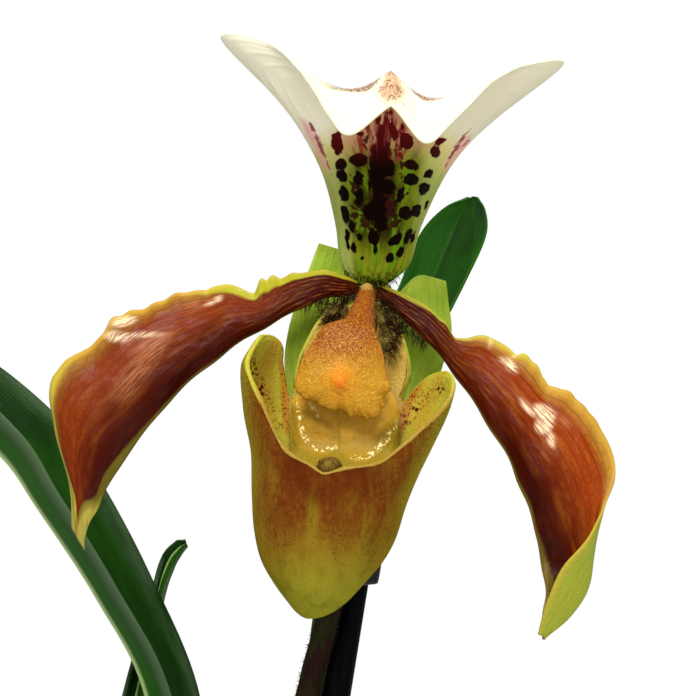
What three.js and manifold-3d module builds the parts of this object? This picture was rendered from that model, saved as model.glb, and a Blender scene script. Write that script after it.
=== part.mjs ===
// A slipper orchid (Paphiopedilum) in flower, growing in a pot of bark, with its stake and clip.
// Millimetres, +Z up, the origin at the centre of the pot's flat base. The flower faces -Y.

import * as THREE from 'three';
import { mergeVertices } from 'three/addons/utils/BufferGeometryUtils.js';
import Module from 'manifold-3d';

const wasm = await Module();
wasm.setup();

// Driving dimensions

const FLOWER = { centre: [20, -22, 226.8], thick: 0.8 };
const POT = { height: 90, rim: 55, shoulder: 51, foot: 38, wall: 1.8, band: 9, floor: 2.4 };
const DRAIN = { count: 6, ring: 24, radius: 4 };
const BARK = { top: 83.5, gap: 0.4, chips: 44, seed: 11 };
const SCAPE = { radius: 1.7 };
const STAKE = { radius: 2.15, foot: 12, head: 206 };
const CLIP = { low: 183.5, high: 188, wall: 1.1, gap: 0.35 };
const LEAF = { thick: 0.9 };
const CLEAR = 0.4;

// Seeded random numbers, so that the bark is the same each time

function randomFrom(seed) {
  let state = seed;
  return () => {
    state = (state * 1664525 + 1013904223) % 4294967296;
    return state / 4294967296;
  };
}

// A smooth value at x through sorted points [x, value]

function through(points, x) {
  const last = points.length - 1;
  if (x <= points[0][0]) return points[0][1];
  if (x >= points[last][0]) return points[last][1];
  let i = 0;
  while (x > points[i + 1][0]) i += 1;
  const slope = (k) => {
    const a = points[Math.max(k - 1, 0)];
    const b = points[Math.min(k + 1, last)];
    return (b[1] - a[1]) / (b[0] - a[0]);
  };
  const [x0, y0] = points[i];
  const [x1, y1] = points[i + 1];
  const h = x1 - x0;
  const t = (x - x0) / h;
  return y0 * (1 - 3 * t * t + 2 * t ** 3) + y1 * (3 * t * t - 2 * t ** 3)
    + h * (slope(i) * (t - 2 * t * t + t ** 3) + slope(i + 1) * (t ** 3 - t * t));
}

// A smooth row of numbers at t from 0 to 1 through evenly spaced rows

function along(rows, t) {
  const last = rows.length - 1;
  const i = Math.min(Math.floor(t * last), last - 1);
  const f = t * last - i;
  const row = (k, n) => {
    if (k < 0) return 2 * rows[0][n] - rows[1][n];
    if (k > last) return 2 * rows[last][n] - rows[last - 1][n];
    return rows[k][n];
  };
  return rows[0].map((_, n) => {
    const [a, b, c, d] = [row(i - 1, n), row(i, n), row(i + 1, n), row(i + 2, n)];
    return b + 0.5 * f * (c - a + f * (2 * a - 5 * b + 4 * c - d + f * (3 * (b - c) + d - a)));
  });
}

// A closed geometry from points and triangles, turned so that its faces point out

function solidOf(points, triangles) {
  const volume = triangles.reduce((sum, [a, b, c]) => {
    const cross = new THREE.Vector3().crossVectors(points[b], points[c]);
    return sum + points[a].dot(cross);
  }, 0);
  const geometry = new THREE.BufferGeometry();
  const flat = points.flatMap((p) => [p.x, p.y, p.z]);
  geometry.setAttribute('position', new THREE.Float32BufferAttribute(flat, 3));
  geometry.setIndex(triangles.flatMap(([a, b, c]) => (volume > 0 ? [a, b, c] : [a, c, b])));
  return geometry;
}

// Joining and cutting

function toManifold(geometry) {
  const bare = geometry.clone();
  for (const name of ['normal', 'uv']) bare.deleteAttribute(name);
  const merged = mergeVertices(bare, 1e-4);
  return new wasm.Manifold(new wasm.Mesh({
    numProp: 3,
    vertProperties: new Float32Array(merged.attributes.position.array),
    triVerts: new Uint32Array(merged.index.array),
  }));
}

function toGeometry(manifold) {
  const mesh = manifold.getMesh();
  const geometry = new THREE.BufferGeometry();
  geometry.setAttribute('position', new THREE.BufferAttribute(mesh.vertProperties, 3));
  geometry.setIndex(new THREE.BufferAttribute(mesh.triVerts, 1));
  return geometry;
}

function joined(geometries) {
  return geometries.map(toManifold).reduce((whole, piece) => whole.add(piece));
}

// A thin blade on a surface(u, v), u along it from 0 to 1 and v across it from -1 to 1

function blade(surface, { steps, across, thick }) {
  const point = (i, j) => surface(i / steps, (2 * j) / across - 1);
  const normal = (i, j) => {
    const clamp = (n, top) => Math.min(Math.max(n, 0), top);
    const du = point(clamp(i + 0.5, steps), j).sub(point(clamp(i - 0.5, steps), j));
    const dv = point(i, clamp(j + 0.5, across)).sub(point(i, clamp(j - 0.5, across)));
    return du.cross(dv).normalize();
  };
  const points = [];
  const triangles = [];
  const columns = across + 1;
  const layer = (steps + 1) * columns;
  for (const side of [0.5, -0.5]) {
    for (let i = 0; i <= steps; i += 1) {
      for (let j = 0; j < columns; j += 1) {
        points.push(point(i, j).addScaledVector(normal(i, j), side * thick));
      }
    }
  }
  const quad = (a, b, c, d) => triangles.push([a, b, c], [a, c, d]);
  for (let i = 0; i < steps; i += 1) {
    for (let j = 0; j < across; j += 1) {
      const a = i * columns + j;
      quad(a, a + columns, a + columns + 1, a + 1);
      triangles.push([layer + a, layer + a + columns + 1, layer + a + columns]);
      triangles.push([layer + a, layer + a + 1, layer + a + columns + 1]);
    }
  }
  const rim = [];
  for (let j = 0; j < across; j += 1) rim.push(j);
  for (let i = 0; i < steps; i += 1) rim.push(i * columns + across);
  for (let j = across; j > 0; j -= 1) rim.push(steps * columns + j);
  for (let i = steps; i > 0; i -= 1) rim.push(i * columns);
  rim.forEach((a, k) => {
    const b = rim[(k + 1) % rim.length];
    quad(a, b, layer + b, layer + a);
  });
  return solidOf(points, triangles);
}

// The surface through stations [margin, other margin, bow], each three numbers; the bow is how
// far the middle stands off the line between the margins, and sag(u, v) is its share elsewhere

const ROUND = (u, v) => 1 - v * v;
const FOLDED = (u, v) => 1 - Math.abs(v) ** 1.3;

function stationed(stations, sag = ROUND) {
  return (u, v) => {
    const s = along(stations, u);
    const w = (v + 1) / 2;
    const share = sag(u, v);
    return new THREE.Vector3(...[0, 1, 2].map(
      (n) => s[n] * (1 - w) + s[n + 3] * w + s[n + 6] * share,
    ));
  };
}

// A tube along a smooth path, with the radius given at even steps along it

function tube(path, radii, { sides, steps }) {
  const curve = new THREE.CatmullRomCurve3(path.map((p) => new THREE.Vector3(...p)));
  const frames = curve.computeFrenetFrames(steps, false);
  const points = [curve.getPointAt(0)];
  const triangles = [];
  for (let i = 0; i <= steps; i += 1) {
    const [radius] = along(radii.map((r) => [r]), i / steps);
    for (let k = 0; k < sides; k += 1) {
      const angle = (2 * Math.PI * k) / sides;
      points.push(curve.getPointAt(i / steps)
        .addScaledVector(frames.normals[i], radius * Math.cos(angle))
        .addScaledVector(frames.binormals[i], radius * Math.sin(angle)));
    }
  }
  points.push(curve.getPointAt(1));
  const end = points.length - 1;
  const at = (i, k) => 1 + i * sides + (k % sides);
  for (let k = 0; k < sides; k += 1) {
    triangles.push([0, at(0, k + 1), at(0, k)], [end, at(steps, k), at(steps, k + 1)]);
    for (let i = 0; i < steps; i += 1) {
      triangles.push([at(i, k), at(i, k + 1), at(i + 1, k + 1)]);
      triangles.push([at(i, k), at(i + 1, k + 1), at(i + 1, k)]);
    }
  }
  return solidOf(points, triangles);
}

// The dorsal sepal: rows from its base to its apex, each from the left margin across the midrib
// to the right margin. It leans over the lip, its sides roll back, and its top flops forward

const DORSAL = [
  [[-2.0, 0.1, 1.5], [-1.2, 0.1, 1.3], [-0.3, 0.0, 1.2], [0.9, 0.0, 1.1],
    [2.0, 0.0, 1.1], [3.2, 0.1, 1.2], [4.2, 0.1, 1.3]],
  [[-3.2, 2.9, 3.4], [-3.8, 1.1, 3.0], [-1.6, -0.6, 2.7], [1.1, -1.0, 2.6],
    [3.8, -0.6, 2.7], [6.1, 1.2, 3.0], [5.6, 3.2, 3.4]],
  [[-3.8, 4.4, 9.4], [-4.4, 0.6, 8.4], [-1.6, -2.5, 8.0], [1.5, -3.4, 8.0],
    [4.7, -2.5, 8.0], [7.7, 0.6, 8.4], [7.1, 4.4, 9.4]],
  [[-6.0, 2.8, 17.0], [-5.8, -2.6, 15.2], [-1.8, -6.3, 14.8], [2.2, -7.4, 14.6],
    [6.2, -6.3, 14.8], [10.2, -2.6, 15.2], [10.9, 2.4, 16.6]],
  [[-11.2, -4.6, 24.4], [-8.7, -8.2, 21.4], [-3.4, -10.2, 19.6], [2.5, -10.8, 19.0],
    [8.1, -10.2, 18.9], [13.3, -8.2, 20.2], [17.3, -4.6, 22.8]],
  [[-20.2, -11.0, 33.8], [-13.0, -12.2, 29.0], [-6.0, -13.4, 25.0], [2.7, -13.4, 23.4],
    [10.6, -13.6, 22.8], [18.0, -12.4, 25.4], [26.7, -11.0, 30.2]],
  [[-14.0, -15.2, 33.0], [-7.8, -16.6, 28.3], [-3.0, -17.4, 25.9], [3.0, -17.2, 25.9],
    [8.6, -17.6, 24.7], [14.0, -17.0, 26.2], [21.3, -15.4, 29.8]],
  [[-8.4, -18.8, 28.6], [-5.3, -21.8, 22.4], [-2.6, -23.4, 19.8], [3.0, -22.4, 22.2],
    [7.6, -23.6, 18.7], [11.2, -22.0, 21.6], [16.6, -18.8, 27.4]],
];
const KEEL = { width: 0.16, crest: 2.7 };

function dorsalSurface(u, v) {
  const flat = along(DORSAL.map((row) => row.flat()), u);
  const row = DORSAL[0].map((_, k) => flat.slice(3 * k, 3 * k + 3));
  const [x, y, z] = along(row, (v + 1) / 2);
  const rise = THREE.MathUtils.smoothstep(u, 0.55, 0.85);
  const ridge = KEEL.crest * rise * Math.exp(-((v / KEEL.width) ** 2));
  return new THREE.Vector3(x, y, z + ridge);
}

// The petals: stations from the base to the tip, lower margin, upper margin and bow

const PETAL_LEFT = [
  [-1.3, 0.0, -1.2, -1.3, 0.0, 0.5, -0.2, 0, 0],
  [-3.4, -1.0, -1.6, -3.6, -0.7, 1.3, 0, -0.4, 0],
  [-6.6, -1.8, -2.0, -6.6, -0.7, 2.0, 0, -1.0, 0],
  [-10.8, -3.0, -4.0, -11.4, -0.4, 1.0, 0, -1.2, 0],
  [-15.0, -4.0, -6.4, -15.6, -1.8, -1.3, 0, -1.2, 0],
  [-19.2, -5.0, -9.0, -20.0, -2.0, 0.0, 0, -1.2, 0],
  [-23.0, -6.0, -12.0, -25.2, -3.4, -1.2, 0, -1.4, 0],
  [-27.2, -7.2, -16.0, -31.4, -4.0, -3.2, 0, -1.6, 0],
  [-31.2, -8.3, -20.8, -37.6, -5.0, -7.6, 0, -1.6, 0],
  [-34.8, -9.0, -26.0, -43.2, -6.2, -13.2, 0, -1.6, 0],
  [-37.0, -9.5, -30.6, -43.3, -7.2, -20.0, 0, -1.4, 0],
  [-38.0, -10.0, -34.0, -41.2, -8.4, -27.4, 0, -1.0, 0],
  [-39.1, -10.2, -36.6, -40.8, -9.2, -33.4, 0, -0.4, 0],
];
const PETAL_RIGHT = [
  [1.0, 0.1, -1.6, 1.1, 0.0, 0.3, 0.3, 0, 0],
  [4.4, -1.2, -4.4, 4.8, -0.7, -1.2, 0, -0.5, 0],
  [8.2, -2.8, -8.0, 8.6, -1.0, -3.4, 0, -1.0, 0],
  [11.8, -4.0, -12.2, 12.6, -2.2, -7.4, 0, -1.2, 0],
  [15.0, -5.0, -16.8, 16.6, -1.6, -7.2, 0, -1.4, 0],
  [17.8, -6.0, -21.4, 21.4, -3.2, -10.0, 0, -1.5, 0],
  [20.2, -7.0, -26.0, 25.8, -4.4, -14.0, 0, -1.6, 0],
  [22.0, -8.0, -30.4, 31.0, -5.4, -18.4, 0, -1.6, 0],
  [23.2, -8.4, -35.0, 34.2, -7.6, -25.6, 0.4, -0.6, 0],
  [24.0, -8.6, -39.4, 31.0, -11.6, -33.6, 2.6, 1.6, -0.6],
  [24.4, -8.8, -43.2, 27.0, -12.6, -38.4, 4.6, 2.6, -0.8],
  [24.0, -9.0, -46.4, 24.6, -11.8, -43.4, 3.6, 1.8, -0.6],
  [24.0, -9.4, -49.0, 23.4, -10.0, -48.2, 0.4, 0.2, 0],
];

// The synsepal, the two lower sepals grown into one, hangs behind the lip; its two shoulders
// stand up behind the petals, with a notch between them where the ovary passes

const SYNSEPAL = [
  [-6.9, 4.6, 6.0, 11.0, 4.8, 0.6, -2.4, -4.5, -6.8],
  [-8.6, 4.6, 1.4, 11.4, 4.8, -2.4, -1.6, -4.3, -4.2],
  [-11.2, 4.8, -6.0, 11.6, 4.9, -7.4, 0, -2.4, 0],
  [-11.5, 5.6, -13.0, 9.9, 5.6, -13.4, 0, -1.4, 0],
  [-9.8, 6.6, -20.0, 6.6, 6.6, -20.0, 0, -1.0, 0],
  [-7.8, 7.4, -26.6, 2.6, 7.4, -26.6, 0, -0.8, 0],
  [-4.6, 8.0, -33.0, -2.0, 8.0, -33.0, 0, -0.2, 0],
];
const NOTCH = { width: 0.44, low: 0.5 };

function notched(u, v) {
  const open = THREE.MathUtils.smoothstep(u, 0.1, NOTCH.low);
  return THREE.MathUtils.lerp(Math.exp(-((v / NOTCH.width) ** 4)), ROUND(u, v), open);
}

// The lip, a slipper-shaped pouch: [height, centre x, half width, centre y, half depth]

const LIP = [
  [-45.6, -8.1, 0.0, -16.4, 0.0],
  [-43.7, -7.3, 3.6, -16.4, 3.4],
  [-40.5, -6.9, 6.1, -16.2, 5.4],
  [-37.4, -6.3, 8.1, -15.9, 6.7],
  [-33.4, -5.7, 9.5, -15.4, 7.7],
  [-28.5, -5.1, 10.5, -14.8, 8.6],
  [-22.6, -3.8, 12.0, -14.0, 9.4],
  [-16.6, -2.9, 13.9, -13.4, 9.8],
  [-11.3, -2.6, 14.4, -12.8, 9.9],
  [-8.3, -2.3, 13.2, -12.3, 9.8],
  [-3.2, -1.6, 11.6, -11.0, 9.9],
];
const LIP_TOP = -11.3;

// The height of the lip's rim by the angle from its front: its front V, its two ears, and the
// shell at the back that rises to the claw

const LIP_RIM = [
  [-180, -3.2], [-168, -3.8], [-158, -5.6], [-151, -9.5], [-147, -15.4], [-142, -15.8],
  [-132, -11.6], [-118, -8.6], [-102, -7.7], [-86, -9.4], [-73, -11.8], [-58, -15.4],
  [-43, -21.4], [-31, -23.4], [-17, -24.7], [-8, -25.7], [6, -24.9], [14, -24.8],
  [29, -24.2], [38, -22.8], [49, -20.6], [60, -18.7], [72, -16.8], [84, -15.2],
  [98, -13.2], [112, -12.3], [128, -12.8], [139, -14.6], [146, -16.6], [150, -13.4],
  [153, -8.4], [159, -5.4], [169, -3.8], [180, -3.2],
];
const LIP_BULGES = [{ angle: -160, depth: 0.3 }, { angle: 158, depth: 0.3 }];
const BULGE = { height: -21, spread: 17, rise: 3.6 };

function lipSurface(angle, t) {
  const bottom = LIP[0][0];
  const height = bottom + (through(LIP_RIM, angle) - bottom) * (1 - Math.cos(t * Math.PI / 2));
  const share = (z) => Math.sqrt((z - bottom) / (LIP_TOP - bottom));
  const value = (column) => through(LIP.map((row) => [share(row[0]), row[column]]), share(height));
  const dent = LIP_BULGES.reduce((sum, { angle: middle, depth }) => {
    const turn = (angle - middle) / BULGE.spread;
    const lift = (height - BULGE.height) / BULGE.rise;
    return sum + depth * Math.exp(-(turn ** 2) - lift ** 2);
  }, 0);
  const a = THREE.MathUtils.degToRad(angle);
  return new THREE.Vector3(
    value(1) + value(2) * (1 - 0.4 * dent) * Math.sin(a),
    value(3) - value(4) * (1 - dent) * Math.cos(a),
    height,
  );
}

function lip() {
  const [turns, rings] = [44, 10];
  const thick = 0.9;
  const angleAt = (k) => -180 + (360 * k) / turns;
  const normal = (k, i) => {
    const du = lipSurface(angleAt(k) + 1, i / rings).sub(lipSurface(angleAt(k) - 1, i / rings));
    const high = Math.min(i + 0.3, rings) / rings;
    const dv = lipSurface(angleAt(k), high).sub(lipSurface(angleAt(k), (i - 0.3) / rings));
    return du.cross(dv).normalize();
  };
  const points = [];
  const triangles = [];
  for (const side of [0.5, -0.5]) {
    points.push(lipSurface(0, 0).add(new THREE.Vector3(0, 0, -side * thick)));
    for (let i = 1; i <= rings; i += 1) {
      for (let k = 0; k < turns; k += 1) {
        points.push(lipSurface(angleAt(k), i / rings).addScaledVector(normal(k, i), side * thick));
      }
    }
  }
  const layer = 1 + rings * turns;
  const at = (i, k, inside) => inside * layer + 1 + (i - 1) * turns + (k % turns);
  for (let k = 0; k < turns; k += 1) {
    triangles.push([0, at(1, k, 0), at(1, k + 1, 0)]);
    triangles.push([layer, at(1, k + 1, 1), at(1, k, 1)]);
    for (let i = 1; i < rings; i += 1) {
      const [a, b, c, d] = [at(i, k, 0), at(i + 1, k, 0), at(i + 1, k + 1, 0), at(i, k + 1, 0)];
      triangles.push([a, b, c], [a, c, d]);
      triangles.push([a + layer, c + layer, b + layer], [a + layer, d + layer, c + layer]);
    }
    const [a, b] = [at(rings, k, 0), at(rings, k + 1, 0)];
    triangles.push([a, a + layer, b + layer], [a, b + layer, b]);
  }
  return solidOf(points, triangles);
}

// The column and its shield, the staminode: the shield's outline [x, z] round its middle

const SHIELD = {
  middle: [-3.8, -12.2],
  outline: [[-9.0, -8.3], [-9.9, -11.0], [-10.4, -14.0], [-9.9, -15.7], [-8.2, -16.4],
    [-6.6, -17.2], [-4.3, -17.9], [-1.8, -18.7], [0.2, -18.9], [1.3, -18.2], [2.0, -16.6],
    [3.1, -14.0], [2.5, -12.0], [1.9, -10.0], [0.9, -7.4], [-0.8, -5.6], [-3.4, -5.2],
    [-6.2, -6.2]],
  front: -14.2, dome: 2.0, lean: 0.16, thick: 1.2,
  umbo: { radius: 1.3, height: 1.0 },
};
const COLUMN = {
  path: [[-0.1, 0.4, -0.3], [-0.4, -1.6, -0.6], [-1.0, -4.5, -2.2], [-2.4, -9.0, -6.2],
    [-3.2, -11.6, -9.4]],
  radii: [0.6, 1.4, 1.6, 2.2, 2.4],
};

function shield() {
  const { middle, outline, front, dome, lean, thick, umbo } = SHIELD;
  const closed = new THREE.CatmullRomCurve3(outline.map(([x, z]) => new THREE.Vector3(x, 0, z)), true);
  const [turns, rings] = [28, 4];
  const rim = closed.getSpacedPoints(turns).slice(0, turns);
  const spot = (k, reach, side) => {
    const x = middle[0] + (rim[k].x - middle[0]) * reach;
    const z = middle[1] + (rim[k].z - middle[1]) * reach;
    const distance = Math.hypot(x - middle[0], z - middle[1]);
    const bump = umbo.height * Math.exp(-((distance / umbo.radius) ** 2));
    const crown = side > 0 ? -dome * (1 - reach ** 2) - bump : -0.3 * dome * (1 - reach ** 2);
    return new THREE.Vector3(x, front + crown + (side > 0 ? 0 : thick) + lean * (z - middle[1]), z);
  };
  const points = [];
  const triangles = [];
  for (const side of [1, -1]) {
    points.push(spot(0, 0, side));
    for (let i = 1; i <= rings; i += 1) {
      for (let k = 0; k < turns; k += 1) points.push(spot(k, i / rings, side));
    }
  }
  const layer = 1 + rings * turns;
  const at = (i, k) => 1 + (i - 1) * turns + (k % turns);
  for (let k = 0; k < turns; k += 1) {
    triangles.push([0, at(1, k), at(1, k + 1)]);
    triangles.push([layer, layer + at(1, k + 1), layer + at(1, k)]);
    for (let i = 1; i < rings; i += 1) {
      const [a, b, c, d] = [at(i, k), at(i + 1, k), at(i + 1, k + 1), at(i, k + 1)];
      triangles.push([a, b, c], [a, c, d]);
      triangles.push([a + layer, c + layer, b + layer], [a + layer, d + layer, c + layer]);
    }
    const [a, b] = [at(rings, k), at(rings, k + 1)];
    triangles.push([a, a + layer, b + layer], [a, b + layer, b]);
  }
  return solidOf(points, triangles);
}

function column() {
  const neck = tube(COLUMN.path, COLUMN.radii, { sides: 12, steps: 10 });
  return toGeometry(joined([shield(), neck]));
}

// The ovary behind the flower, on top of the scape, and the bract that sheathes its foot

const OVARY = {
  path: [[0, 0.95, -0.2], [0, 6, -0.9], [-0.5, 11, -4.2], [-1.0, 15, -10.6], [-1.5, 17.2, -18.4],
    [-1.8, 18.1, -26.4]],
  radii: [1.9, 2.3, 2.6, 2.4, 2.1, 1.8],
};

// The scape from the crown up to the ovary

const SCAPE_PATH = [[0.6, 0, 93.4], [1.4, 0, 106], [4.2, 0, 130], [8.3, 0, 152], [11.4, 0, 168],
  [14.2, 0, 179], [16.6, -1.8, 190], [18.2, -3.8, 199.8]];

// The stake leans behind the scape, through the bark, and the clip holds the scape to it

const STAKE_AT = { x: 15.5, y: 1.9, z: 168, leanX: 0.163, leanY: 0.18 };

function stakePoint(z) {
  return [STAKE_AT.x + STAKE_AT.leanX * (z - STAKE_AT.z), STAKE_AT.y + STAKE_AT.leanY * (z - STAKE_AT.z), z];
}

function stakeTube(radius, foot) {
  const path = [stakePoint(foot), stakePoint((foot + STAKE.head) / 2), stakePoint(STAKE.head)];
  return tube(path, [radius, radius, radius], { sides: 16, steps: 4 });
}

function scapePoint(z) {
  const last = SCAPE_PATH.length - 1;
  let i = 0;
  while (i < last - 1 && z > SCAPE_PATH[i + 1][2]) i += 1;
  const t = (z - SCAPE_PATH[i][2]) / (SCAPE_PATH[i + 1][2] - SCAPE_PATH[i][2]);
  return SCAPE_PATH[i].map((value, n) => value + t * (SCAPE_PATH[i + 1][n] - value));
}

// A band round two upright rods: the outline of the two circles, with straight sides between

function loopAround(first, second, radiusFirst, radiusSecond, offset) {
  const across = new THREE.Vector2(second[0] - first[0], second[1] - first[1]);
  const turn = Math.atan2(across.y, across.x);
  const arc = (centre, radius, from) => Array.from({ length: 9 }, (_, k) => {
    const angle = from + (Math.PI * k) / 8;
    return new THREE.Vector2(
      centre[0] + (radius + offset) * Math.cos(angle),
      centre[1] + (radius + offset) * Math.sin(angle),
    );
  });
  return [...arc(first, radiusFirst, turn + Math.PI / 2), ...arc(second, radiusSecond, turn - Math.PI / 2)];
}

function clip() {
  const levels = [CLIP.low, CLIP.high];
  const rings = levels.map((z) => [CLIP.gap, CLIP.gap + CLIP.wall].map(
    (offset) => loopAround(scapePoint(z), stakePoint(z), SCAPE.radius, STAKE.radius, offset)
      .map((p) => new THREE.Vector3(p.x, p.y, z)),
  ));
  const loops = [rings[0][0], rings[0][1], rings[1][1], rings[1][0]];
  const count = loops[0].length;
  const triangles = [];
  for (let r = 0; r < 4; r += 1) {
    for (let k = 0; k < count; k += 1) {
      const [a, b] = [r * count + k, r * count + ((k + 1) % count)];
      const [c, d] = [((r + 1) % 4) * count + ((k + 1) % count), ((r + 1) % 4) * count + k];
      triangles.push([a, b, c], [a, c, d]);
    }
  }
  return solidOf(loops.flat(), triangles);
}

// A leaf's stations from [x, y, z] of its middle between the margins, its direction across
// [x, y], its half width, the depth of its keel below the margins, and the keel's shift outwards

function leafStations(rows) {
  return rows.map(([x, y, z, ax, ay, half, depth, shift = 0]) => [
    x - ax * half, y - ay * half, z, x + ax * half, y + ay * half, z, shift, 0, -depth,
  ]);
}

// The clasping foot of a leaf or bract: the way its keel faces, its radius, height and centre

function claspRow(facing, radius, z, [x, y] = [0, 0]) {
  const a = THREE.MathUtils.degToRad(facing);
  const half = THREE.MathUtils.degToRad(62);
  const edge = (turn) => [x + radius * Math.cos(a + turn), y + radius * Math.sin(a + turn), z];
  const middle = radius * (1 - Math.cos(half));
  return [...edge(-half), ...edge(half), middle * Math.cos(a), middle * Math.sin(a), 0];
}

// The leaves, foot first; the first two are the tall ones on either side of the scape

const YOUNG = [-27, 16];
const LEAVES = {
  leaf_left_high: [
    claspRow(180, 3.9, 91.1),
    claspRow(175, 4.6, 98),
    [-3.4, -0.6, 118, -2.6, 7.6, 118, -5.0, 0.5, 0],
    [-4.8, 5.0, 142, -3.0, 15.0, 142, -5.6, 0.4, 0],
    [-8.9, 12.5, 166.4, -5.3, 23.0, 165.4, -5.6, -0.7, 0],
    [-17.0, 13.0, 182.7, -13.0, 25.0, 184.1, -5.0, -0.5, -2.9],
    [-25.5, 13.0, 196.4, -21.2, 26.5, 199.4, -5.5, -0.2, -4.0],
    [-31.6, 13.0, 205.7, -28.0, 27.0, 208.9, -5.2, -0.2, -4.9],
    [-45.0, 11.5, 217.0, -42.4, 28.5, 219.6, -3.7, 0, -5.6],
    [-62.0, 8.5, 224.6, -60.6, 29.5, 226.6, -1.7, 0, -5.8],
    [-82.0, 5.0, 226.6, -80.6, 27.0, 228.4, -0.5, 0, -5.4],
    [-100.0, 3.0, 221.5, -98.6, 21.5, 223.0, 0, 0, -4.2],
    [-111.5, 4.5, 211.0, -110.5, 14.0, 212.0, 0, 0, -2.2],
    [-116.4, 8.0, 203.5, -116.2, 10.0, 203.8, 0, 0, -0.4],
  ],
  leaf_right_high: [
    claspRow(10, 3.9, 91.1),
    claspRow(24, 4.6, 98),
    [8.2, 0.6, 112, 4.6, 6.6, 112, 2.6, 2.6, 0],
    [11.6, 7.4, 130, 6.6, 9.6, 130, 1.6, 3.2, 0],
    [13.6, 13.2, 150, 8.8, 13.6, 150, 0, 3.2, 0],
    [15.6, 16.6, 168, 11.0, 17.0, 168, 0, 3.0, 0],
    [17.2, 18.2, 179, 12.2, 18.7, 179, 0, 2.8, 0],
    [20.0, 20.6, 193, 13.4, 21.6, 193, 0, 2.8, 0],
    [25.0, 24.6, 208, 16.0, 26.2, 206, 0, 3.0, 0],
    [30.6, 28.8, 220, 20.4, 30.8, 218, 0, 3.0, 0],
    [35.2, 32.8, 229, 25.0, 34.8, 227.4, 0, 2.8, 0],
    [38.2, 36.4, 235.4, 28.0, 38.0, 235.0, 0, 2.2, 0],
    [38.3, 38.2, 239.2, 31.8, 39.4, 239.4, 0, 1.2, 0],
    [37.2, 39.6, 241.3, 35.6, 40.0, 241.2, 0, 0.4, 0],
  ],
  leaf_left_middle: [
    claspRow(182, 6.0, 89.6),
    claspRow(182, 7.4, 95),
    ...leafStations([
      [-14.5, -0.5, 112, 0, 1, 6.6, 4.5, -4.0],
      [-28, -1.4, 130, 0, 1, 8.4, 5.6, -2.0],
      [-48, -3, 144, 0, 1, 10.4, 4.8],
      [-72, -5, 147, 0, 1, 11.4, 4.2],
      [-94, -6, 138.6, 0, 1, 10.2, 3.4],
      [-110, -7, 124, 0, 1, 6.4, 2.0],
      [-116.5, -7.5, 112, 0, 1, 1.4, 0.4],
    ]),
  ],
  leaf_right_middle: [
    claspRow(-2, 6.0, 89.6),
    claspRow(-1, 7.4, 95),
    ...leafStations([
      [15, 0.8, 112, 0, 1, 6.2, 4.5, 4.0],
      [29, 1.6, 130, 0, 1, 8.2, 5.6, 2.0],
      [50, 3, 146, 0, 1, 10.4, 4.8],
      [76, 5, 150, 0, 1, 11.4, 4.2],
      [97, 6, 140, 0, 1, 10.0, 3.2],
      [110, 7, 126, 0, 1, 6.2, 2.0],
      [116, 7.5, 114, 0, 1, 1.4, 0.4],
    ]),
  ],
  leaf_left_low: [
    claspRow(192, 8.4, 88.1),
    claspRow(194, 10.4, 91.4),
    ...leafStations([
      [-22, -8, 101.6, -0.35, 0.94, 7.6, 4.2, -1.6],
      [-36, -15, 109, -0.4, 0.92, 9.4, 4.6],
      [-55, -25, 112, -0.42, 0.9, 10.8, 4.2],
      [-74, -35, 104.6, -0.42, 0.9, 10.4, 3.6],
      [-90, -42.5, 89, -0.42, 0.9, 7.4, 2.4],
      [-98, -46, 76, -0.42, 0.9, 1.6, 0.4],
    ]),
  ],
  leaf_right_low: [
    claspRow(12, 8.4, 88.1),
    claspRow(14, 10.4, 91.4),
    ...leafStations([
      [22, 8.4, 101.8, -0.35, 0.94, 7.4, 4.2, 1.6],
      [36, 16, 109.6, -0.4, 0.92, 9.2, 4.6],
      [56, 27, 113, -0.42, 0.9, 10.8, 4.2],
      [77, 38, 107, -0.42, 0.9, 10.6, 3.6],
      [93, 46, 92, -0.42, 0.9, 7.4, 2.4],
      [100, 50, 79, -0.42, 0.9, 1.6, 0.4],
    ]),
  ],
  young_leaf_tall: [
    claspRow(80, 2.7, 87.6, YOUNG),
    claspRow(80, 3.0, 94, YOUNG),
    [-20.4, 18.0, 120, -26.2, 18.8, 120, 0.4, 3.0, 0],
    [-17.2, 21.4, 142, -22.0, 22.2, 142, 0.2, 2.6, 0],
    [-13.1, 26.4, 165.2, -17.0, 26.8, 165.2, 0, 1.8, 0],
    [-10.9, 28.0, 179.6, -12.9, 28.4, 180.2, 0, 0.9, 0],
    [-9.4, 28.6, 184.6, -11.2, 28.8, 186.0, 0, 0.6, 0],
    [-8.2, 28.8, 186.6, -9.2, 29.0, 188.4, 0, 0.4, 0],
    [-7.2, 29.0, 187.8, -7.5, 29.1, 188.9, 0, 0.2, 0],
  ],
  young_leaf_left: [
    claspRow(200, 4.6, 87.2, YOUNG),
    claspRow(195, 5.0, 92, YOUNG),
    ...leafStations([
      [-37.5, 17, 105, 0.1, 1, 5.0, 3.0, -2.0],
      [-45.5, 21, 119, 0.3, 0.95, 6.4, 4.0],
      [-56, 28, 129, 0.45, 0.89, 7.2, 3.6],
      [-67, 36, 131, 0.5, 0.87, 5.6, 2.4],
      [-74, 41, 128, 0.5, 0.87, 1.4, 0.4],
    ]),
  ],
};

// The bract that sheathes the foot of the ovary

const BRACT = [
  claspRow(95, 2.9, -25.6, [-1.8, 18.0]),
  claspRow(95, 3.1, -20.6, [-1.7, 17.7]),
  claspRow(95, 3.2, -15.0, [-1.3, 17.2]),
  claspRow(95, 2.4, -9.0, [-0.9, 17.6]),
  [0.0, 20.4, -4.6, -1.6, 20.4, -4.6, 0, 0.4, 0],
];

// The crown that the leaves clasp, stepped where each pair of leaves sits, with its young growth
// on a short rhizome, and the thick roots that dive into the bark

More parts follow.
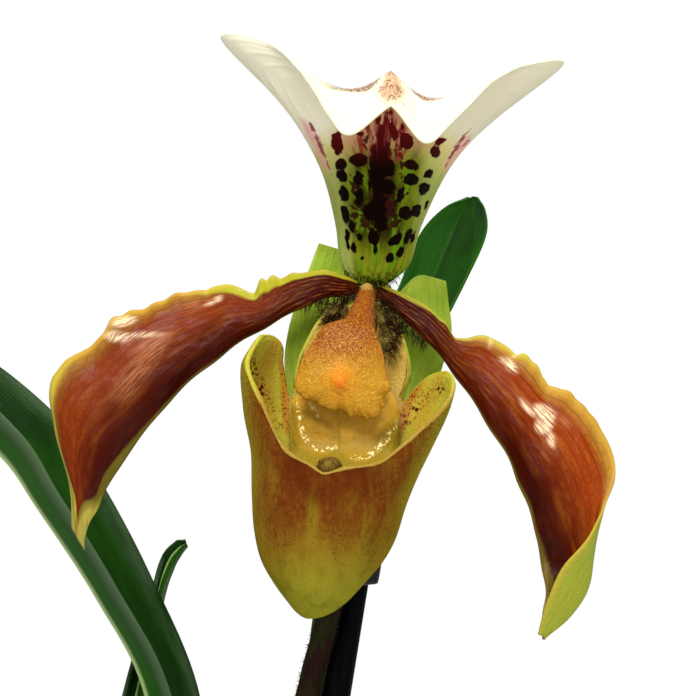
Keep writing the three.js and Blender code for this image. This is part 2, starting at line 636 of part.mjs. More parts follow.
const CROWN = [[0, 77], [6, 78], [8.6, 82], [9.0, 87.7], [6.6, 87.7], [6.5, 89.2], [4.6, 89.2],
  [4.5, 90.7], [2.6, 90.7], [2.2, 93.0], [0, 93.0]];
const BUD = [[0, 78], [4, 79], [5.6, 83], [5.4, 86.8], [3.4, 86.8], [3.2, 87.2], [1.6, 87.2],
  [1.2, 92], [0, 92]];
const ROOTS = [
  [[6, -4, 84], [14, -8, 86.6], [22, -13, 84], [28, -16, 74]],
  [[-4, -6, 84], [-8, -15, 87], [-11, -24, 84.6], [-13, -31, 73]],
  [[5, 6, 84], [11, 16, 87.4], [15, 25, 84], [17, 32, 72]],
  [[-28, 19, 83], [-29, 26, 86.4], [-29.5, 31, 81], [-29, 33, 71]],
];
const ROOT_RADII = [1.7, 1.9, 1.8, 1.2];
const BURIED = 82;

function lathe(profile, grow, sides) {
  const points = profile.map(([r, z]) => new THREE.Vector2(
    r === 0 ? 0 : r + grow,
    z < BURIED ? z - grow : z + grow,
  ));
  return new THREE.LatheGeometry(points, sides).rotateX(Math.PI / 2);
}

// The crown as one solid, grown all over by a clearance where it is the hole in the bark

function crown(grow) {
  const bud = lathe(BUD, grow, 12).translate(YOUNG[0], YOUNG[1], 0);
  const rhizome = tube([[0, 0, 81], [-13, 8, 81], [-27, 16, 81]], [3 + grow, 2.6 + grow, 3 + grow],
    { sides: 8, steps: 3 });
  const roots = ROOTS.map((path) => {
    const longer = path.map((point, k) => (k === path.length - 1 ? [point[0], point[1], point[2] - grow] : point));
    return tube(longer, ROOT_RADII.map((r) => r + grow), { sides: 6, steps: 8 });
  });
  return joined([lathe(CROWN, grow, 18), bud, rhizome, ...roots]);
}

// The bark: a bed that fills the pot, with chips lying on it, and plain holes for what stands in it

function innerRadius(z) {
  const { foot, shoulder, wall, floor, height, band } = POT;
  return foot - wall + ((shoulder - foot) * (z - floor)) / (height - band - floor);
}

function chips() {
  const random = randomFrom(BARK.seed);
  const placed = [];
  while (placed.length < BARK.chips) {
    const angle = 2 * Math.PI * random();
    const reach = 13 + 30 * Math.sqrt(random());
    const [x, y] = [reach * Math.cos(angle), reach * Math.sin(angle)];
    const size = [7 + 6 * random(), 5 + 4 * random(), 2.6 + 1.6 * random()];
    const tilt = [0.35 * (random() - 0.5), 0.35 * (random() - 0.5), Math.PI * random()];
    const nearBud = Math.hypot(x - YOUNG[0], y - YOUNG[1]) < 13;
    if (!nearBud) {
      placed.push(new THREE.BoxGeometry(...size).rotateX(tilt[0]).rotateY(tilt[1]).rotateZ(tilt[2])
        .translate(x, y, BARK.top + 0.9));
    }
  }
  return placed;
}

function bark() {
  const floor = POT.floor + BARK.gap;
  const shoulder = POT.height - POT.band;
  const bed = new THREE.LatheGeometry([
    new THREE.Vector2(0, floor),
    new THREE.Vector2(innerRadius(floor) - BARK.gap, floor),
    new THREE.Vector2(innerRadius(shoulder) - BARK.gap, shoulder),
    new THREE.Vector2(innerRadius(shoulder) - BARK.gap, BARK.top),
    new THREE.Vector2(0, BARK.top),
  ], 48).rotateX(Math.PI / 2);
  return toGeometry(joined([bed, ...chips()])
    .subtract(crown(CLEAR))
    .subtract(toManifold(stakeTube(STAKE.radius + CLEAR, STAKE.foot - CLEAR))));
}

// The pot, a plain one with a banded rim and drain holes round its middle

function pot() {
  const { height, rim, shoulder, foot, wall, band, floor } = POT;
  const low = height - band;
  const profile = [
    [0, 0], [foot - 0.8, 0], [foot, 0.8], [shoulder, low], [rim - 0.8, low], [rim, low + 0.8],
    [rim + 0.4, height - 0.8], [rim - 0.4, height], [rim - wall, height], [rim - wall - 0.4, low + wall],
    [shoulder - wall, low], [foot - wall, floor], [0, floor],
  ].map(([r, z]) => new THREE.Vector2(r, z));
  const shell = toManifold(new THREE.LatheGeometry(profile, 48).rotateX(Math.PI / 2));
  return toGeometry(Array.from({ length: DRAIN.count }, (_, k) => {
    const angle = (2 * Math.PI * k) / DRAIN.count;
    return new THREE.CylinderGeometry(DRAIN.radius, DRAIN.radius, 3 * floor, 14).rotateX(Math.PI / 2)
      .translate(DRAIN.ring * Math.cos(angle), DRAIN.ring * Math.sin(angle), floor / 2);
  }).reduce((whole, hole) => whole.subtract(toManifold(hole)), shell));
}

// Finishes

const FINISH = {
  sepal: { color: 0x8a9a3a, roughness: 0.55 },
  petal: { color: 0x8a4a1e, roughness: 0.35 },
  lip: { color: 0x8a6a1c, roughness: 0.35 },
  column: { color: 0xd89a2c, roughness: 0.5 },
  ovary: { color: 0x5a5a2a, roughness: 0.7 },
  scape: { color: 0x3a2a18, roughness: 0.8 },
  leaf: { color: 0x2c4a22, roughness: 0.45 },
  root: { color: 0x6a5440, roughness: 0.9 },
  bark: { color: 0x5a3c26, roughness: 0.95 },
  stake: { color: 0x0a0a0c, roughness: 0.5 },
  clip: { color: 0x1e1e20, roughness: 0.4 },
  pot: { color: 0x9a5236, roughness: 0.6 },
};

// The plant put together

const plant = new THREE.Group();
const flower = new THREE.Group();
flower.position.set(...FLOWER.centre);
plant.add(flower);

function add(parent, name, geometry, finish) {
  const material = new THREE.MeshStandardMaterial({ metalness: 0, ...FINISH[finish] });
  const mesh = new THREE.Mesh(geometry, material);
  mesh.name = name;
  parent.add(mesh);
}

const thick = FLOWER.thick;
add(flower, 'dorsal_sepal', blade(dorsalSurface, { steps: 22, across: 18, thick }), 'sepal');
add(flower, 'synsepal', blade(stationed(SYNSEPAL, notched), { steps: 14, across: 12, thick }), 'sepal');
add(flower, 'petal_left', blade(stationed(PETAL_LEFT), { steps: 30, across: 6, thick }), 'petal');
add(flower, 'petal_right', blade(stationed(PETAL_RIGHT), { steps: 30, across: 6, thick }), 'petal');
add(flower, 'lip', lip(), 'lip');
add(flower, 'column', column(), 'column');
add(flower, 'ovary', tube(OVARY.path, OVARY.radii, { sides: 10, steps: 12 }), 'ovary');
add(flower, 'bract', blade(stationed(BRACT), { steps: 10, across: 6, thick }), 'ovary');
add(plant, 'scape', tube(SCAPE_PATH, [SCAPE.radius, SCAPE.radius], { sides: 10, steps: 20 }), 'scape');
for (const [name, stations] of Object.entries(LEAVES)) {
  add(plant, name, blade(stationed(stations, FOLDED), { steps: 24, across: 4, thick: LEAF.thick }), 'leaf');
}
add(plant, 'crown_and_roots', toGeometry(crown(0)), 'root');
add(plant, 'stake', stakeTube(STAKE.radius, STAKE.foot), 'stake');
add(plant, 'stake_clip', clip(), 'clip');
add(plant, 'bark', bark(), 'bark');
add(plant, 'pot', pot(), 'pot');

export default plant;
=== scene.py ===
"""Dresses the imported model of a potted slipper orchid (Paphiopedilum) for its portrait.

Lengths in the tables are millimetres, as in the part's source; place() turns them into metres.
"""

import logging
from collections.abc import Callable, Sequence
from dataclasses import dataclass
from enum import Enum

import bmesh
import bpy
import numpy as np
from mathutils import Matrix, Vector, noise

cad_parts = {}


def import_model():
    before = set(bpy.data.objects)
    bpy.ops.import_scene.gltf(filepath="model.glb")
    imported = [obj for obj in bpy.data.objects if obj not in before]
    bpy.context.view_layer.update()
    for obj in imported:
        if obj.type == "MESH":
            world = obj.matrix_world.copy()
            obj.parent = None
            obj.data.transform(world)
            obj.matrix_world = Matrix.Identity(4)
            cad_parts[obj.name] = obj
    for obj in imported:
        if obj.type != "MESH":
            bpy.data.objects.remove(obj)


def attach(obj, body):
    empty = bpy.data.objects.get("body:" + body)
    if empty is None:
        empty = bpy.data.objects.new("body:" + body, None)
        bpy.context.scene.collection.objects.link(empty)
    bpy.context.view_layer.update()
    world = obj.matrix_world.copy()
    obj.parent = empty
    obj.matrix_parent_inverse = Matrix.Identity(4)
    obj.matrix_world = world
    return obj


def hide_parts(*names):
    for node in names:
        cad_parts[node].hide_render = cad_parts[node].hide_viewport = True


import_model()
log = logging.getLogger("orchid")

MM = 0.001
FLOWER = np.array([20.0, -22.0, 226.8])
VIEW_AIM = np.array([17.2, -22.0, 218.0])
VIEW_DISTANCE = 600.0
ELEMENT = 0.14
HALF_FRAME = 348

Row = np.ndarray
Points = np.ndarray
Surface = Callable[[Row, Row], Points]
Piece = bpy.types.Object
Material = bpy.types.Material
Socket = bpy.types.NodeSocket
Value = Socket | float | tuple
Scale = float | tuple[float, float, float]


# Curves and surfaces


def through(points: Sequence[Sequence[float]], x: Row) -> Row:
    """Reads a smooth value at each x through sorted points.

    Args:
        points: pairs of x and value, sorted by x.
        x: where to read; values outside the range take the end's value.

    Returns:
        The values, one for each x.
    """
    xs, ys = np.array(points, float).T
    slopes = np.empty_like(ys)
    slopes[1:-1] = (ys[2:] - ys[:-2]) / (xs[2:] - xs[:-2])
    slopes[0] = (ys[1] - ys[0]) / (xs[1] - xs[0])
    slopes[-1] = (ys[-1] - ys[-2]) / (xs[-1] - xs[-2])
    x = np.clip(x, xs[0], xs[-1])
    i = np.clip(np.searchsorted(xs, x, side="right") - 1, 0, len(xs) - 2)
    h = xs[i + 1] - xs[i]
    t = (x - xs[i]) / h
    held = ys[i] * (1 - 3 * t**2 + 2 * t**3) + ys[i + 1] * (3 * t**2 - 2 * t**3)
    return held + h * (slopes[i] * (t - 2 * t**2 + t**3) + slopes[i + 1] * (t**3 - t**2))


def between(a: Points, b: Points, c: Points, d: Points, f: Row) -> Points:
    """Rows a share f of the way from b to c, on the smooth curve through a, b, c and d."""
    return b + 0.5 * f * (c - a + f * (2 * a - 5 * b + 4 * c - d + f * (3 * (b - c) + d - a)))


def along(rows: Row, t: Row) -> Row:
    """Reads a smooth row of numbers at each t through evenly spaced rows.

    Args:
        rows: (rows, numbers), or (points, rows, numbers) with rows of its own for each t.
        t: places from 0 to 1.

    Returns:
        One row of numbers for each t.
    """
    own = rows.ndim == 3
    stack = rows if own else rows[None]
    first = 2 * stack[:, :1] - stack[:, 1:2]
    end = 2 * stack[:, -1:] - stack[:, -2:-1]
    padded = np.concatenate([first, stack, end], axis=1)
    last = stack.shape[1] - 1
    i = np.clip((t * last).astype(int), 0, last - 1)
    f = (t * last - i)[:, None]
    n = np.arange(len(t)) if own else np.zeros(len(t), int)
    return between(*(padded[n, i + k] for k in range(4)), f)


def ease(x: Row, low: float, high: float) -> Row:
    """Rises smoothly from 0 at low to 1 at high."""
    t = np.clip((x - low) / (high - low), 0, 1)
    return t * t * (3 - 2 * t)


def thinned(v: Row, share: float, low: float = 0.8) -> Row:
    """The share of a blade's thickness that is left towards its margins, from low on."""
    return 1 - share * ease(np.abs(v), low, 1.0)


def unit(rows: Points) -> Points:
    """The rows scaled to a length of 1."""
    return rows / np.maximum(np.linalg.norm(rows, axis=1, keepdims=True), 1e-9)


def around(first: Points, second: Points, angle: Row) -> Points:
    """Directions at an angle from the first of two directions towards the second, row by row."""
    return first * np.cos(angle)[:, None] + second * np.sin(angle)[:, None]


def swivel(p: Points, axes: tuple[int, int], turn: float) -> None:
    """Turns points in the plane of two axes.

    Args:
        p: the points, which are changed.
        axes: the axis that turns towards the other, and the other.
        turn: the angle in radians.
    """
    first, second = p[:, axes[0]].copy(), p[:, axes[1]].copy()
    p[:, axes[0]] = first * np.cos(turn) - second * np.sin(turn)
    p[:, axes[1]] = first * np.sin(turn) + second * np.cos(turn)


def round_sag(u: Row, v: Row) -> Row:
    """The share of the bow across a blade with a round section."""
    return 1 - v**2


def folded_sag(u: Row, v: Row) -> Row:
    """The share of the bow across a blade with a keel."""
    return 1 - np.abs(v) ** 1.3


def stationed(stations: Sequence, sag: Callable = round_sag) -> Surface:
    """Makes a surface through stations of two margins and the bow between them.

    Args:
        stations: rows of one margin, the other margin and the bow, three numbers each.
        sag: the share of the bow at u and v.

    Returns:
        The surface, from u along and v across to points in millimetres.
    """
    rows = np.array(stations, float)

    def surface(u: Row, v: Row) -> Points:
        """Points of the blade at u and v.

        Args:
            u: places along it, from 0 to 1.
            v: places across it, from -1 to 1.

        Returns:
            The points in millimetres.
        """
        s = along(rows, u)
        w = ((v + 1) / 2)[:, None]
        return s[:, :3] * (1 - w) + s[:, 3:6] * w + s[:, 6:9] * sag(u, v)[:, None]

    return surface


def normals_of(surface: Surface, u: Row, v: Row) -> Points:
    """Unit normals of a surface at u and v, along the turn from u to v.

    Args:
        surface: the surface.
        u: places along it.
        v: places across it.

    Returns:
        One unit normal for each place.
    """
    e = 2e-3
    du = surface(np.clip(u + e, 0, 1), v) - surface(np.clip(u - e, 0, 1), v)
    dv = surface(u, np.clip(v + e, -1, 1)) - surface(u, np.clip(v - e, -1, 1))
    return unit(np.cross(du, dv))


def ripples(p: Points, size: float, seed: float = 0.0) -> Row:
    """Smooth random values from -1 to 1 at points, with features of a size in millimetres."""
    return np.array([noise.noise(Vector((a / size + seed, b / size, c / size))) for a, b, c in p])


def in_portrait(points: Points) -> tuple[Row, Row]:
    """Where points of the flower stand in the portrait.

    Args:
        points: points in millimetres in the flower's frame.

    Returns:
        How far across and how far down the portrait each lies, in its elements.
    """
    p = points + FLOWER
    nearer = 1 + (p[:, 1] - VIEW_AIM[1]) / VIEW_DISTANCE
    at = (p[:, [0, 2]] - VIEW_AIM[[0, 2]]) / nearer[:, None] / ELEMENT
    return HALF_FRAME + at[:, 0], HALF_FRAME - at[:, 1]


# Meshes


def deselect() -> None:
    """Deselects everything, so that an operator acts on the new piece alone."""
    bpy.ops.object.select_all(action="DESELECT")


def points_of(obj: Piece) -> Points:
    """The vertices of a piece as rows of x, y and z.

    Args:
        obj: the piece.

    Returns:
        One row for each vertex, in metres.
    """
    flat = np.empty(len(obj.data.vertices) * 3)
    obj.data.vertices.foreach_get("co", flat)
    return flat.reshape(-1, 3)


def set_points(obj: Piece, points: Points) -> None:
    """Puts the vertices of a piece where the rows say."""
    obj.data.vertices.foreach_set("co", np.ascontiguousarray(points, dtype=float).ravel())
    obj.data.update()


def place(points: Points, origin: Row | None = None) -> Points:
    """Turns millimetres, measured from an origin, into metres in the plant's frame."""
    return (points + (0 if origin is None else origin)) * MM


def pick(obj: Piece) -> None:
    """Selects one piece alone and makes it active.

    Args:
        obj: the piece.
    """
    deselect()
    obj.select_set(True)
    bpy.context.view_layer.objects.active = obj


def apply(obj: Piece, modifier: bpy.types.Modifier) -> None:
    """Applies one modifier of a piece."""
    pick(obj)
    bpy.ops.object.modifier_apply(modifier=modifier.name)


def bevelled(obj: Piece, width: float, segments: int = 3, degrees: float = 30.0) -> None:
    """Rounds the sharp edges of a piece.

    Args:
        obj: the piece.
        width: the width of the rounding in millimetres.
        segments: the faces across it.
        degrees: the least angle of an edge that is rounded.
    """
    soften = obj.modifiers.new("rounded", "BEVEL")
    soften.width = width * MM
    soften.segments = segments
    soften.limit_method = "ANGLE"
    soften.angle_limit = np.radians(degrees)
    apply(obj, soften)


def record(obj: Piece, name: str, values: Row) -> None:
    """Keeps one number for each vertex of a piece as an attribute that a finish can read."""
    layer = obj.data.attributes.new(name, "FLOAT", "POINT")
    layer.data.foreach_set("value", np.asarray(values, dtype=np.float32))


def ball(name: str, segments: int, rings: int) -> tuple[Piece, Points]:
    """Adds a ball of radius 1 to be shaped.

    Args:
        name: the piece's name.
        segments: faces round it.
        rings: faces from pole to pole.

    Returns:
        The piece and its points.
    """
    deselect()
    bpy.ops.mesh.primitive_uv_sphere_add(segments=segments, ring_count=rings, radius=1)
    obj = bpy.context.object
    obj.name = obj.data.name = name
    return obj, points_of(obj)


def grid(name: str, steps: int, across: int) -> tuple[Piece, Row, Row]:
    """Adds a grid to be shaped.

    Args:
        name: the piece's name.
        steps: faces along it.
        across: faces across it.

    Returns:
        The piece, u of each vertex from 0 to 1 and v of each vertex from -1 to 1.
    """
    deselect()
    bpy.ops.mesh.primitive_grid_add(x_subdivisions=steps, y_subdivisions=across, size=1)
    obj = bpy.context.object
    obj.name = obj.data.name = name
    flat = points_of(obj)
    return obj, np.clip(flat[:, 0] + 0.5, 0, 1), np.clip(2 * flat[:, 1], -1, 1)


def thicken(obj: Piece, thick: float, taper: Row | None = None, back: int = 0) -> None:
    """Gives a sheet its thickness, half to each side.

    Args:
        obj: the sheet.
        thick: the thickness in millimetres.
        taper: the share of the thickness at each vertex.
        back: how much higher the material index of the second side is.
    """
    solid = obj.modifiers.new("thickness", "SOLIDIFY")
    solid.thickness = thick * MM
    solid.offset = 0
    solid.use_even_offset = False
    solid.material_offset = back
    while len(obj.data.materials) <= back:
        obj.data.materials.append(None)
    if taper is not None:
        group = obj.vertex_groups.new(name="taper")
        for index, share in enumerate(taper):
            group.add([index], float(share), "REPLACE")
        solid.vertex_group = "taper"
    apply(obj, solid)
    obj.vertex_groups.clear()


def rework(obj: Piece, *steps: Callable[[bmesh.types.BMesh], object]) -> None:
    """Runs steps on the mesh of a piece.

    Args:
        obj: the piece.
        steps: what is done to its mesh, in order.
    """
    shape = bmesh.new()
    shape.from_mesh(obj.data)
    for step in steps:
        step(shape)
    shape.to_mesh(obj.data)
    shape.free()


def close_seams(obj: Piece) -> None:
    """Merges the vertices of a wrapped sheet where its sides meet."""
    rework(obj, lambda shape: bmesh.ops.remove_doubles(shape, verts=shape.verts, dist=0.01 * MM),
           lambda shape: bmesh.ops.dissolve_degenerate(shape, edges=shape.edges, dist=1e-8))


def face_out(obj: Piece) -> None:
    """Turns the faces of a closed piece outwards."""
    rework(obj, lambda shape: bmesh.ops.recalc_face_normals(shape, faces=shape.faces))


def smooth(obj: Piece, degrees: float = 180.0) -> None:
    """Shades a piece smooth where its faces meet at less than an angle.

    Args:
        obj: the piece.
        degrees: the angle; 180 shades every edge smooth.
    """
    pick(obj)
    if degrees >= 180:
        bpy.ops.object.shade_smooth()
    else:
        bpy.ops.object.shade_smooth_by_angle(angle=np.radians(degrees))


def dress(obj: Piece, finishes: Sequence[Material], nodes: Sequence[str] = ()) -> Piece:
    """Gives a finished piece its materials, its body and the nodes it stands for.

    Args:
        obj: the piece.
        finishes: its materials, in the order of its material indices.
        nodes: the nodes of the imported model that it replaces.

    Returns:
        The piece.
    """
    while len(obj.data.materials) < len(finishes):
        obj.data.materials.append(None)
    for index, finish in enumerate(finishes):
        obj.data.materials[index] = finish
    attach(obj, "root")
    if nodes:
        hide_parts(*nodes)
    log.info("%s: %d faces", obj.name, len(obj.data.polygons))
    return obj


def frames_along(path: Points, steps: int) -> tuple[Points, Points, Points]:
    """Even points along a smooth path, with two directions across it that don't twist.

    Args:
        path: the path's points.
        steps: how many stretches to cut it into.

    Returns:
        The points and the two directions, one row for each of steps + 1 places.
    """
    fine = along(np.array(path, float), np.linspace(0, 1, 40 * steps + 1))
    lengths = np.concatenate([[0], np.cumsum(np.linalg.norm(np.diff(fine, axis=0), axis=1))])
    even = np.linspace(0, lengths[-1], steps + 1)
    centres = np.stack([np.interp(even, lengths, fine[:, n]) for n in range(3)], axis=1)
    ahead = unit(np.gradient(centres, axis=0))
    side = np.cross(ahead[0], [0.0, 1.0, 0.0] if abs(ahead[0][1]) < 0.9 else [1.0, 0.0, 0.0])
    sides = []
    for direction in ahead:
        side = side - direction * np.dot(side, direction)
        side = side / np.linalg.norm(side)
        sides.append(side)
    sides = np.array(sides)
    return centres, sides, np.cross(ahead, sides)


def rod(name: str, path: Points, radii: Sequence[float], sides: int, steps: int,
        ribs: Callable[[Row, Row], Row] | None = None) -> Piece:
    """Builds a closed rod along a path, in millimetres, from a wrapped grid.

    Args:
        name: the piece's name.
        path: the path's points.
        radii: the radius at even steps along it.
        sides: faces round it.
        steps: faces along it.
        ribs: the share of the radius at u along it and at an angle round it, where it isn't round.

    Returns:
        The rod, its UV map running along it and round it.
    """
    obj, u, v = grid(name, steps, sides)
    centres, first, second = frames_along(path, steps)
    row = np.rint(u * steps).astype(int)
    angle = np.pi * v
    radius = along(np.array(radii, float)[:, None], u)[:, 0]
    if ribs:
        radius = radius * ribs(u, angle)
    set_points(obj, place(centres[row] + around(first[row], second[row], angle) * radius[:, None]))
    close_seams(obj)
    rework(obj, lambda shape: bmesh.ops.holes_fill(shape, edges=shape.edges, sides=0))
    face_out(obj)
    return obj


def hairs(name: str, roots: Points, ways: Points, lengths: Row, width: float, finish: "HairFinish",
          bend: float = 0.3) -> Piece:
    """Plants hairs: one tapering hair is modelled and repeated at every root in one mesh.

    Args:
        name: the piece's name.
        roots: where the hairs stand, in millimetres in the plant's frame.
        ways: the direction of each hair.
        lengths: the length of each hair in millimetres.
        width: a hair's width at its root in millimetres.
        finish: their finish.
        bend: how far the tips droop, as a share of the length.

    Returns:
        The hairs as one piece.
    """
    deselect()
    bpy.ops.mesh.primitive_cone_add(vertices=3, radius1=0.5, radius2=0.0, depth=1.0, location=(0, 0, 0.5))
    obj = bpy.context.object
    bpy.ops.object.transform_apply(location=True)
    obj.name = obj.data.name = name
    shape = bmesh.new()
    shape.from_mesh(obj.data)
    bmesh.ops.bisect_plane(shape, geom=shape.verts[:] + shape.edges[:] + shape.faces[:],
                           plane_co=(0, 0, 0.5), plane_no=(0, 0, 1))
    shape.verts.index_update()
    one = np.array([vertex.co[:] for vertex in shape.verts])
    faces = [[vertex.index for vertex in face.verts] for face in shape.faces]
    shape.free()
    one[:, :2] *= np.where(one[:, 2:3] > 0.4, 1.5, 1.0) * np.where(one[:, 2:3] > 0.9, 0.0, 1.0)
    ways = unit(ways)
    across = unit(np.cross(ways, [0.31, 0.52, 0.79]))
    other = np.cross(ways, across)
    lengths = np.asarray(lengths, float)[:, None, None]
    body = (
        across[:, None] * one[None, :, 0:1] * width
        + other[:, None] * one[None, :, 1:2] * width
        + ways[:, None] * one[None, :, 2:3] * lengths
    )
    body[:, :, 2] -= (one[None, :, 2] ** 2) * bend * lengths[:, :, 0]
    body += roots[:, None]
    count = len(one)
    every = [[index + count * k for index in face] for k in range(len(roots)) for face in faces]
    obj.data.clear_geometry()
    obj.data.from_pydata(place(body.reshape(-1, 3)).tolist(), [], every)
    obj.data.update()
    return dress(obj, [finish.make()])


def joined(parts: Sequence[Piece]) -> Piece:
    """Joins parts into the first of them.

    Args:
        parts: the parts, which become one piece.

    Returns:
        That piece.
    """
    deselect()
    for part in parts:
        part.select_set(True)
    bpy.context.view_layer.objects.active = parts[0]
    bpy.ops.object.join()
    return parts[0]


# Finishes


def srgb(red: float, green: float, blue: float) -> tuple[float, float, float, float]:
    """A colour given as 0 to 255 on a screen, as the linear colour that a shader takes.

    Args:
        red: its red.
        green: its green.
        blue: its blue.

    Returns:
        Red, green, blue and 1 for opaque.
    """
    c = np.array([red, green, blue]) / 255
    linear = np.where(c <= 0.04045, c / 12.92, ((c + 0.055) / 1.055) ** 2.4)
    return (*linear.tolist(), 1.0)


class Finish:
    """Builds the nodes of one material; each method adds a node and returns its output."""

    def __init__(self, name: str, roughness: float = 0.5, flesh: Sequence[float] = (0,),
                 **surface: float | tuple) -> None:
        """Starts a material.

        Args:
            name: the material's name.
            roughness: the roughness all over it.
            flesh: how much light goes in and how far its red, green and blue get, in millimetres.
            surface: other constants of the shader by the names of its sockets, with underscores.
        """
        self.material = bpy.data.materials.new(name)
        self.material.use_nodes = True
        self.tree = self.material.node_tree
        self.skin = self.tree.nodes["Principled BSDF"]
        self.ground: Value = (0, 0, 0, 1)
        first = {"Roughness": roughness, "Specular_IOR_Level": 0.06, "Subsurface_Weight": flesh[0]}
        if flesh[0]:
            first["Subsurface_Radius"] = [radius * MM for radius in flesh[1:]]
        for key, value in (first | surface).items():
            self.skin.inputs[key.replace("_", " ")].default_value = value

    def add(self, kind: str, **settings: object) -> bpy.types.Node:
        """Adds a node of a kind with its settings.

        Args:
            kind: the node's kind.
            settings: its settings by name.

        Returns:
            The node.
        """
        node = self.tree.nodes.new(kind)
        for key, value in settings.items():
            setattr(node, key, value)
        return node

    def feed(self, socket: Socket, value: Value) -> None:
        """Links an output to a socket, or sets the socket to a constant.

        Args:
            socket: the socket.
            value: the output or the constant.
        """
        if isinstance(value, Socket):
            self.tree.links.new(value, socket)
        else:
            socket.default_value = value

    def math(self, operation: str, a: Value, b: Value = 0.0, clamp: bool = False) -> Socket:
        """One sum, product or other operation on two numbers.

        Args:
            operation: what is done.
            a: the first number.
            b: the second number.
            clamp: whether the result is kept from 0 to 1.

        Returns:
            The result.
        """
        node = self.add("ShaderNodeMath", operation=operation, use_clamp=clamp)
        self.feed(node.inputs[0], a)
        self.feed(node.inputs[1], b)
        return node.outputs[0]

    def times(self, a: Value, b: Value) -> Socket:
        """The product of two numbers."""
        return self.math("MULTIPLY", a, b)

    def plus(self, a: Value, b: Value) -> Socket:
        """The sum of two numbers."""
        return self.math("ADD", a, b)

    def minus(self, a: Value, b: Value) -> Socket:
        """The difference of two numbers."""
        return self.math("SUBTRACT", a, b)

    def away(self, value: Value, middle: Value) -> Socket:
        """How far a number is from another, whichever way."""
        return self.math("ABSOLUTE", self.minus(value, middle))

    def swing(self, value: Value, width: float) -> Socket:
        """A noise of 0 to 1 as a swing about nought of a whole width."""
        return self.times(self.minus(value, 0.5), width)

    def step(self, value: Value, low: float, high: float, start: float = 0.0, end: float = 1.0) -> Socket:
        """Goes smoothly from start at low to end at high.

        Args:
            value: what is read.
            low: where the change begins.
            high: where it ends.
            start: the result at low.
            end: the result at high.

        Returns:
            The result.
        """
        node = self.add("ShaderNodeMapRange", interpolation_type="SMOOTHSTEP")
        turned = low > high
        low, high, start, end = (high, low, end, start) if turned else (low, high, start, end)
        for socket, number in zip(node.inputs[:5], (value, low, high, start, end)):
            self.feed(socket, number)
        return node.outputs[0]

    def mix(self, factor: Value, a: Value, b: Value, blend: str = "MIX") -> Socket:
        """Mixes two colours.

        Args:
            factor: the share of the second colour.
            a: the first colour.
            b: the second colour.
            blend: how the second is laid on the first.

        Returns:
            The mixed colour.
        """
        node = self.add("ShaderNodeMix", data_type="RGBA", blend_type=blend, clamp_factor=True)
        self.feed(node.inputs[0], factor)
        self.feed(node.inputs[6], a)
        self.feed(node.inputs[7], b)
        return node.outputs[2]

    def over(self, colour: Value, *shares: Value) -> None:
        """Lays a colour over the ground.

        Args:
            colour: the colour.
            shares: how strong it is, as the product of these numbers.
        """
        share = shares[0]
        for other in shares[1:]:
            share = self.times(share, other)
        self.ground = self.mix(share, self.ground, colour)

    def ramp(self, value: Value, stops: Sequence[tuple[float, tuple]]) -> Socket:
        """A colour read from stops of place and colour.

        Args:
            value: where to read.
            stops: places from 0 to 1, each with its colour.

        Returns:
            The colour.
        """
        node = self.add("ShaderNodeValToRGB")
        elements = node.color_ramp.elements
        while len(elements) < len(stops):
            elements.new(1.0)
        for element, (at, colour) in zip(elements, stops):
            element.position = at
            element.color = colour
        self.feed(node.inputs[0], value)
        return node.outputs[0]

    def uv(self) -> Socket:
        """The piece's own UV map."""
        return self.add("ShaderNodeUVMap", uv_map="UVMap").outputs[0]

    def solid(self) -> Socket:
        """The piece's own coordinates, in metres."""
        return self.add("ShaderNodeTexCoord").outputs["Object"]

    def kept(self, name: str) -> Socket:
        """A number kept for each vertex of the piece."""
        return self.add("ShaderNodeAttribute", attribute_name=name).outputs["Fac"]

    def split(self, vector: Socket) -> list[Socket]:
        """The x, y and z of a vector.

        Args:
            vector: the vector.

        Returns:
            The three numbers.
        """
        node = self.add("ShaderNodeSeparateXYZ")
        self.feed(node.inputs[0], vector)
        return list(node.outputs)

    def sheet(self) -> tuple[Socket, Socket, Socket]:
        """The piece's own UV map, u and v."""
        uv = self.uv()
        return uv, *self.split(uv)[:2]

    def stretch(self, where: Socket, scale: Scale, shift: tuple, turn: tuple = (0, 0, 0)) -> Socket:
        """Scales, shifts and turns coordinates.

        Args:
            where: the coordinates.
            scale: one number, or one for each axis.
            shift: what is added to them.
            turn: their turns about the axes.

        Returns:
            The new coordinates.
        """
        node = self.add("ShaderNodeMapping")
        self.feed(node.inputs["Vector"], where)
        node.inputs["Scale"].default_value = scale if isinstance(scale, tuple) else (scale,) * 3
        node.inputs["Location"].default_value = shift
        node.inputs["Rotation"].default_value = turn
        return node.outputs[0]

    def cloud(self, where: Socket, scale: Scale, detail: float = 2, roughness: float = 0.5,
              distortion: float = 0, shift: tuple = (0, 0, 0), turn: tuple = (0, 0, 0)) -> Socket:
        """Soft noise.

        Args:
            where: the coordinates that it is read at.
            scale: how often it changes over one whole of them, all ways or on each axis.
            detail: how many finer layers it has.
            roughness: how strong those are.
            distortion: how much it is twisted.
            shift: what is added to the coordinates.
            turn: their turns about the axes.

        Returns:
            Numbers from 0 to 1.
        """
        node = self.add("ShaderNodeTexNoise")
        for key, value in {"Vector": self.stretch(where, scale, shift, turn), "Scale": 1, "Detail": detail,
                           "Roughness": roughness, "Distortion": distortion}.items():
            self.feed(node.inputs[key], value)
        return node.outputs["Fac"]

    def cells(self, where: Socket, scale: Scale, shift: tuple = (0, 0, 0), feature: str = "F1") -> Socket:
        """The distance to the nearest cell's centre or edge.

        Args:
            where: the coordinates that it is read at.
            scale: cells over one whole of them, all ways or on each axis.
            shift: what is added to the coordinates.
            feature: what is measured.

        Returns:
            The distances.
        """
        node = self.add("ShaderNodeTexVoronoi", feature=feature)
        self.feed(node.inputs["Vector"], self.stretch(where, scale, shift))
        self.feed(node.inputs["Scale"], 1)
        return node.outputs["Distance"]

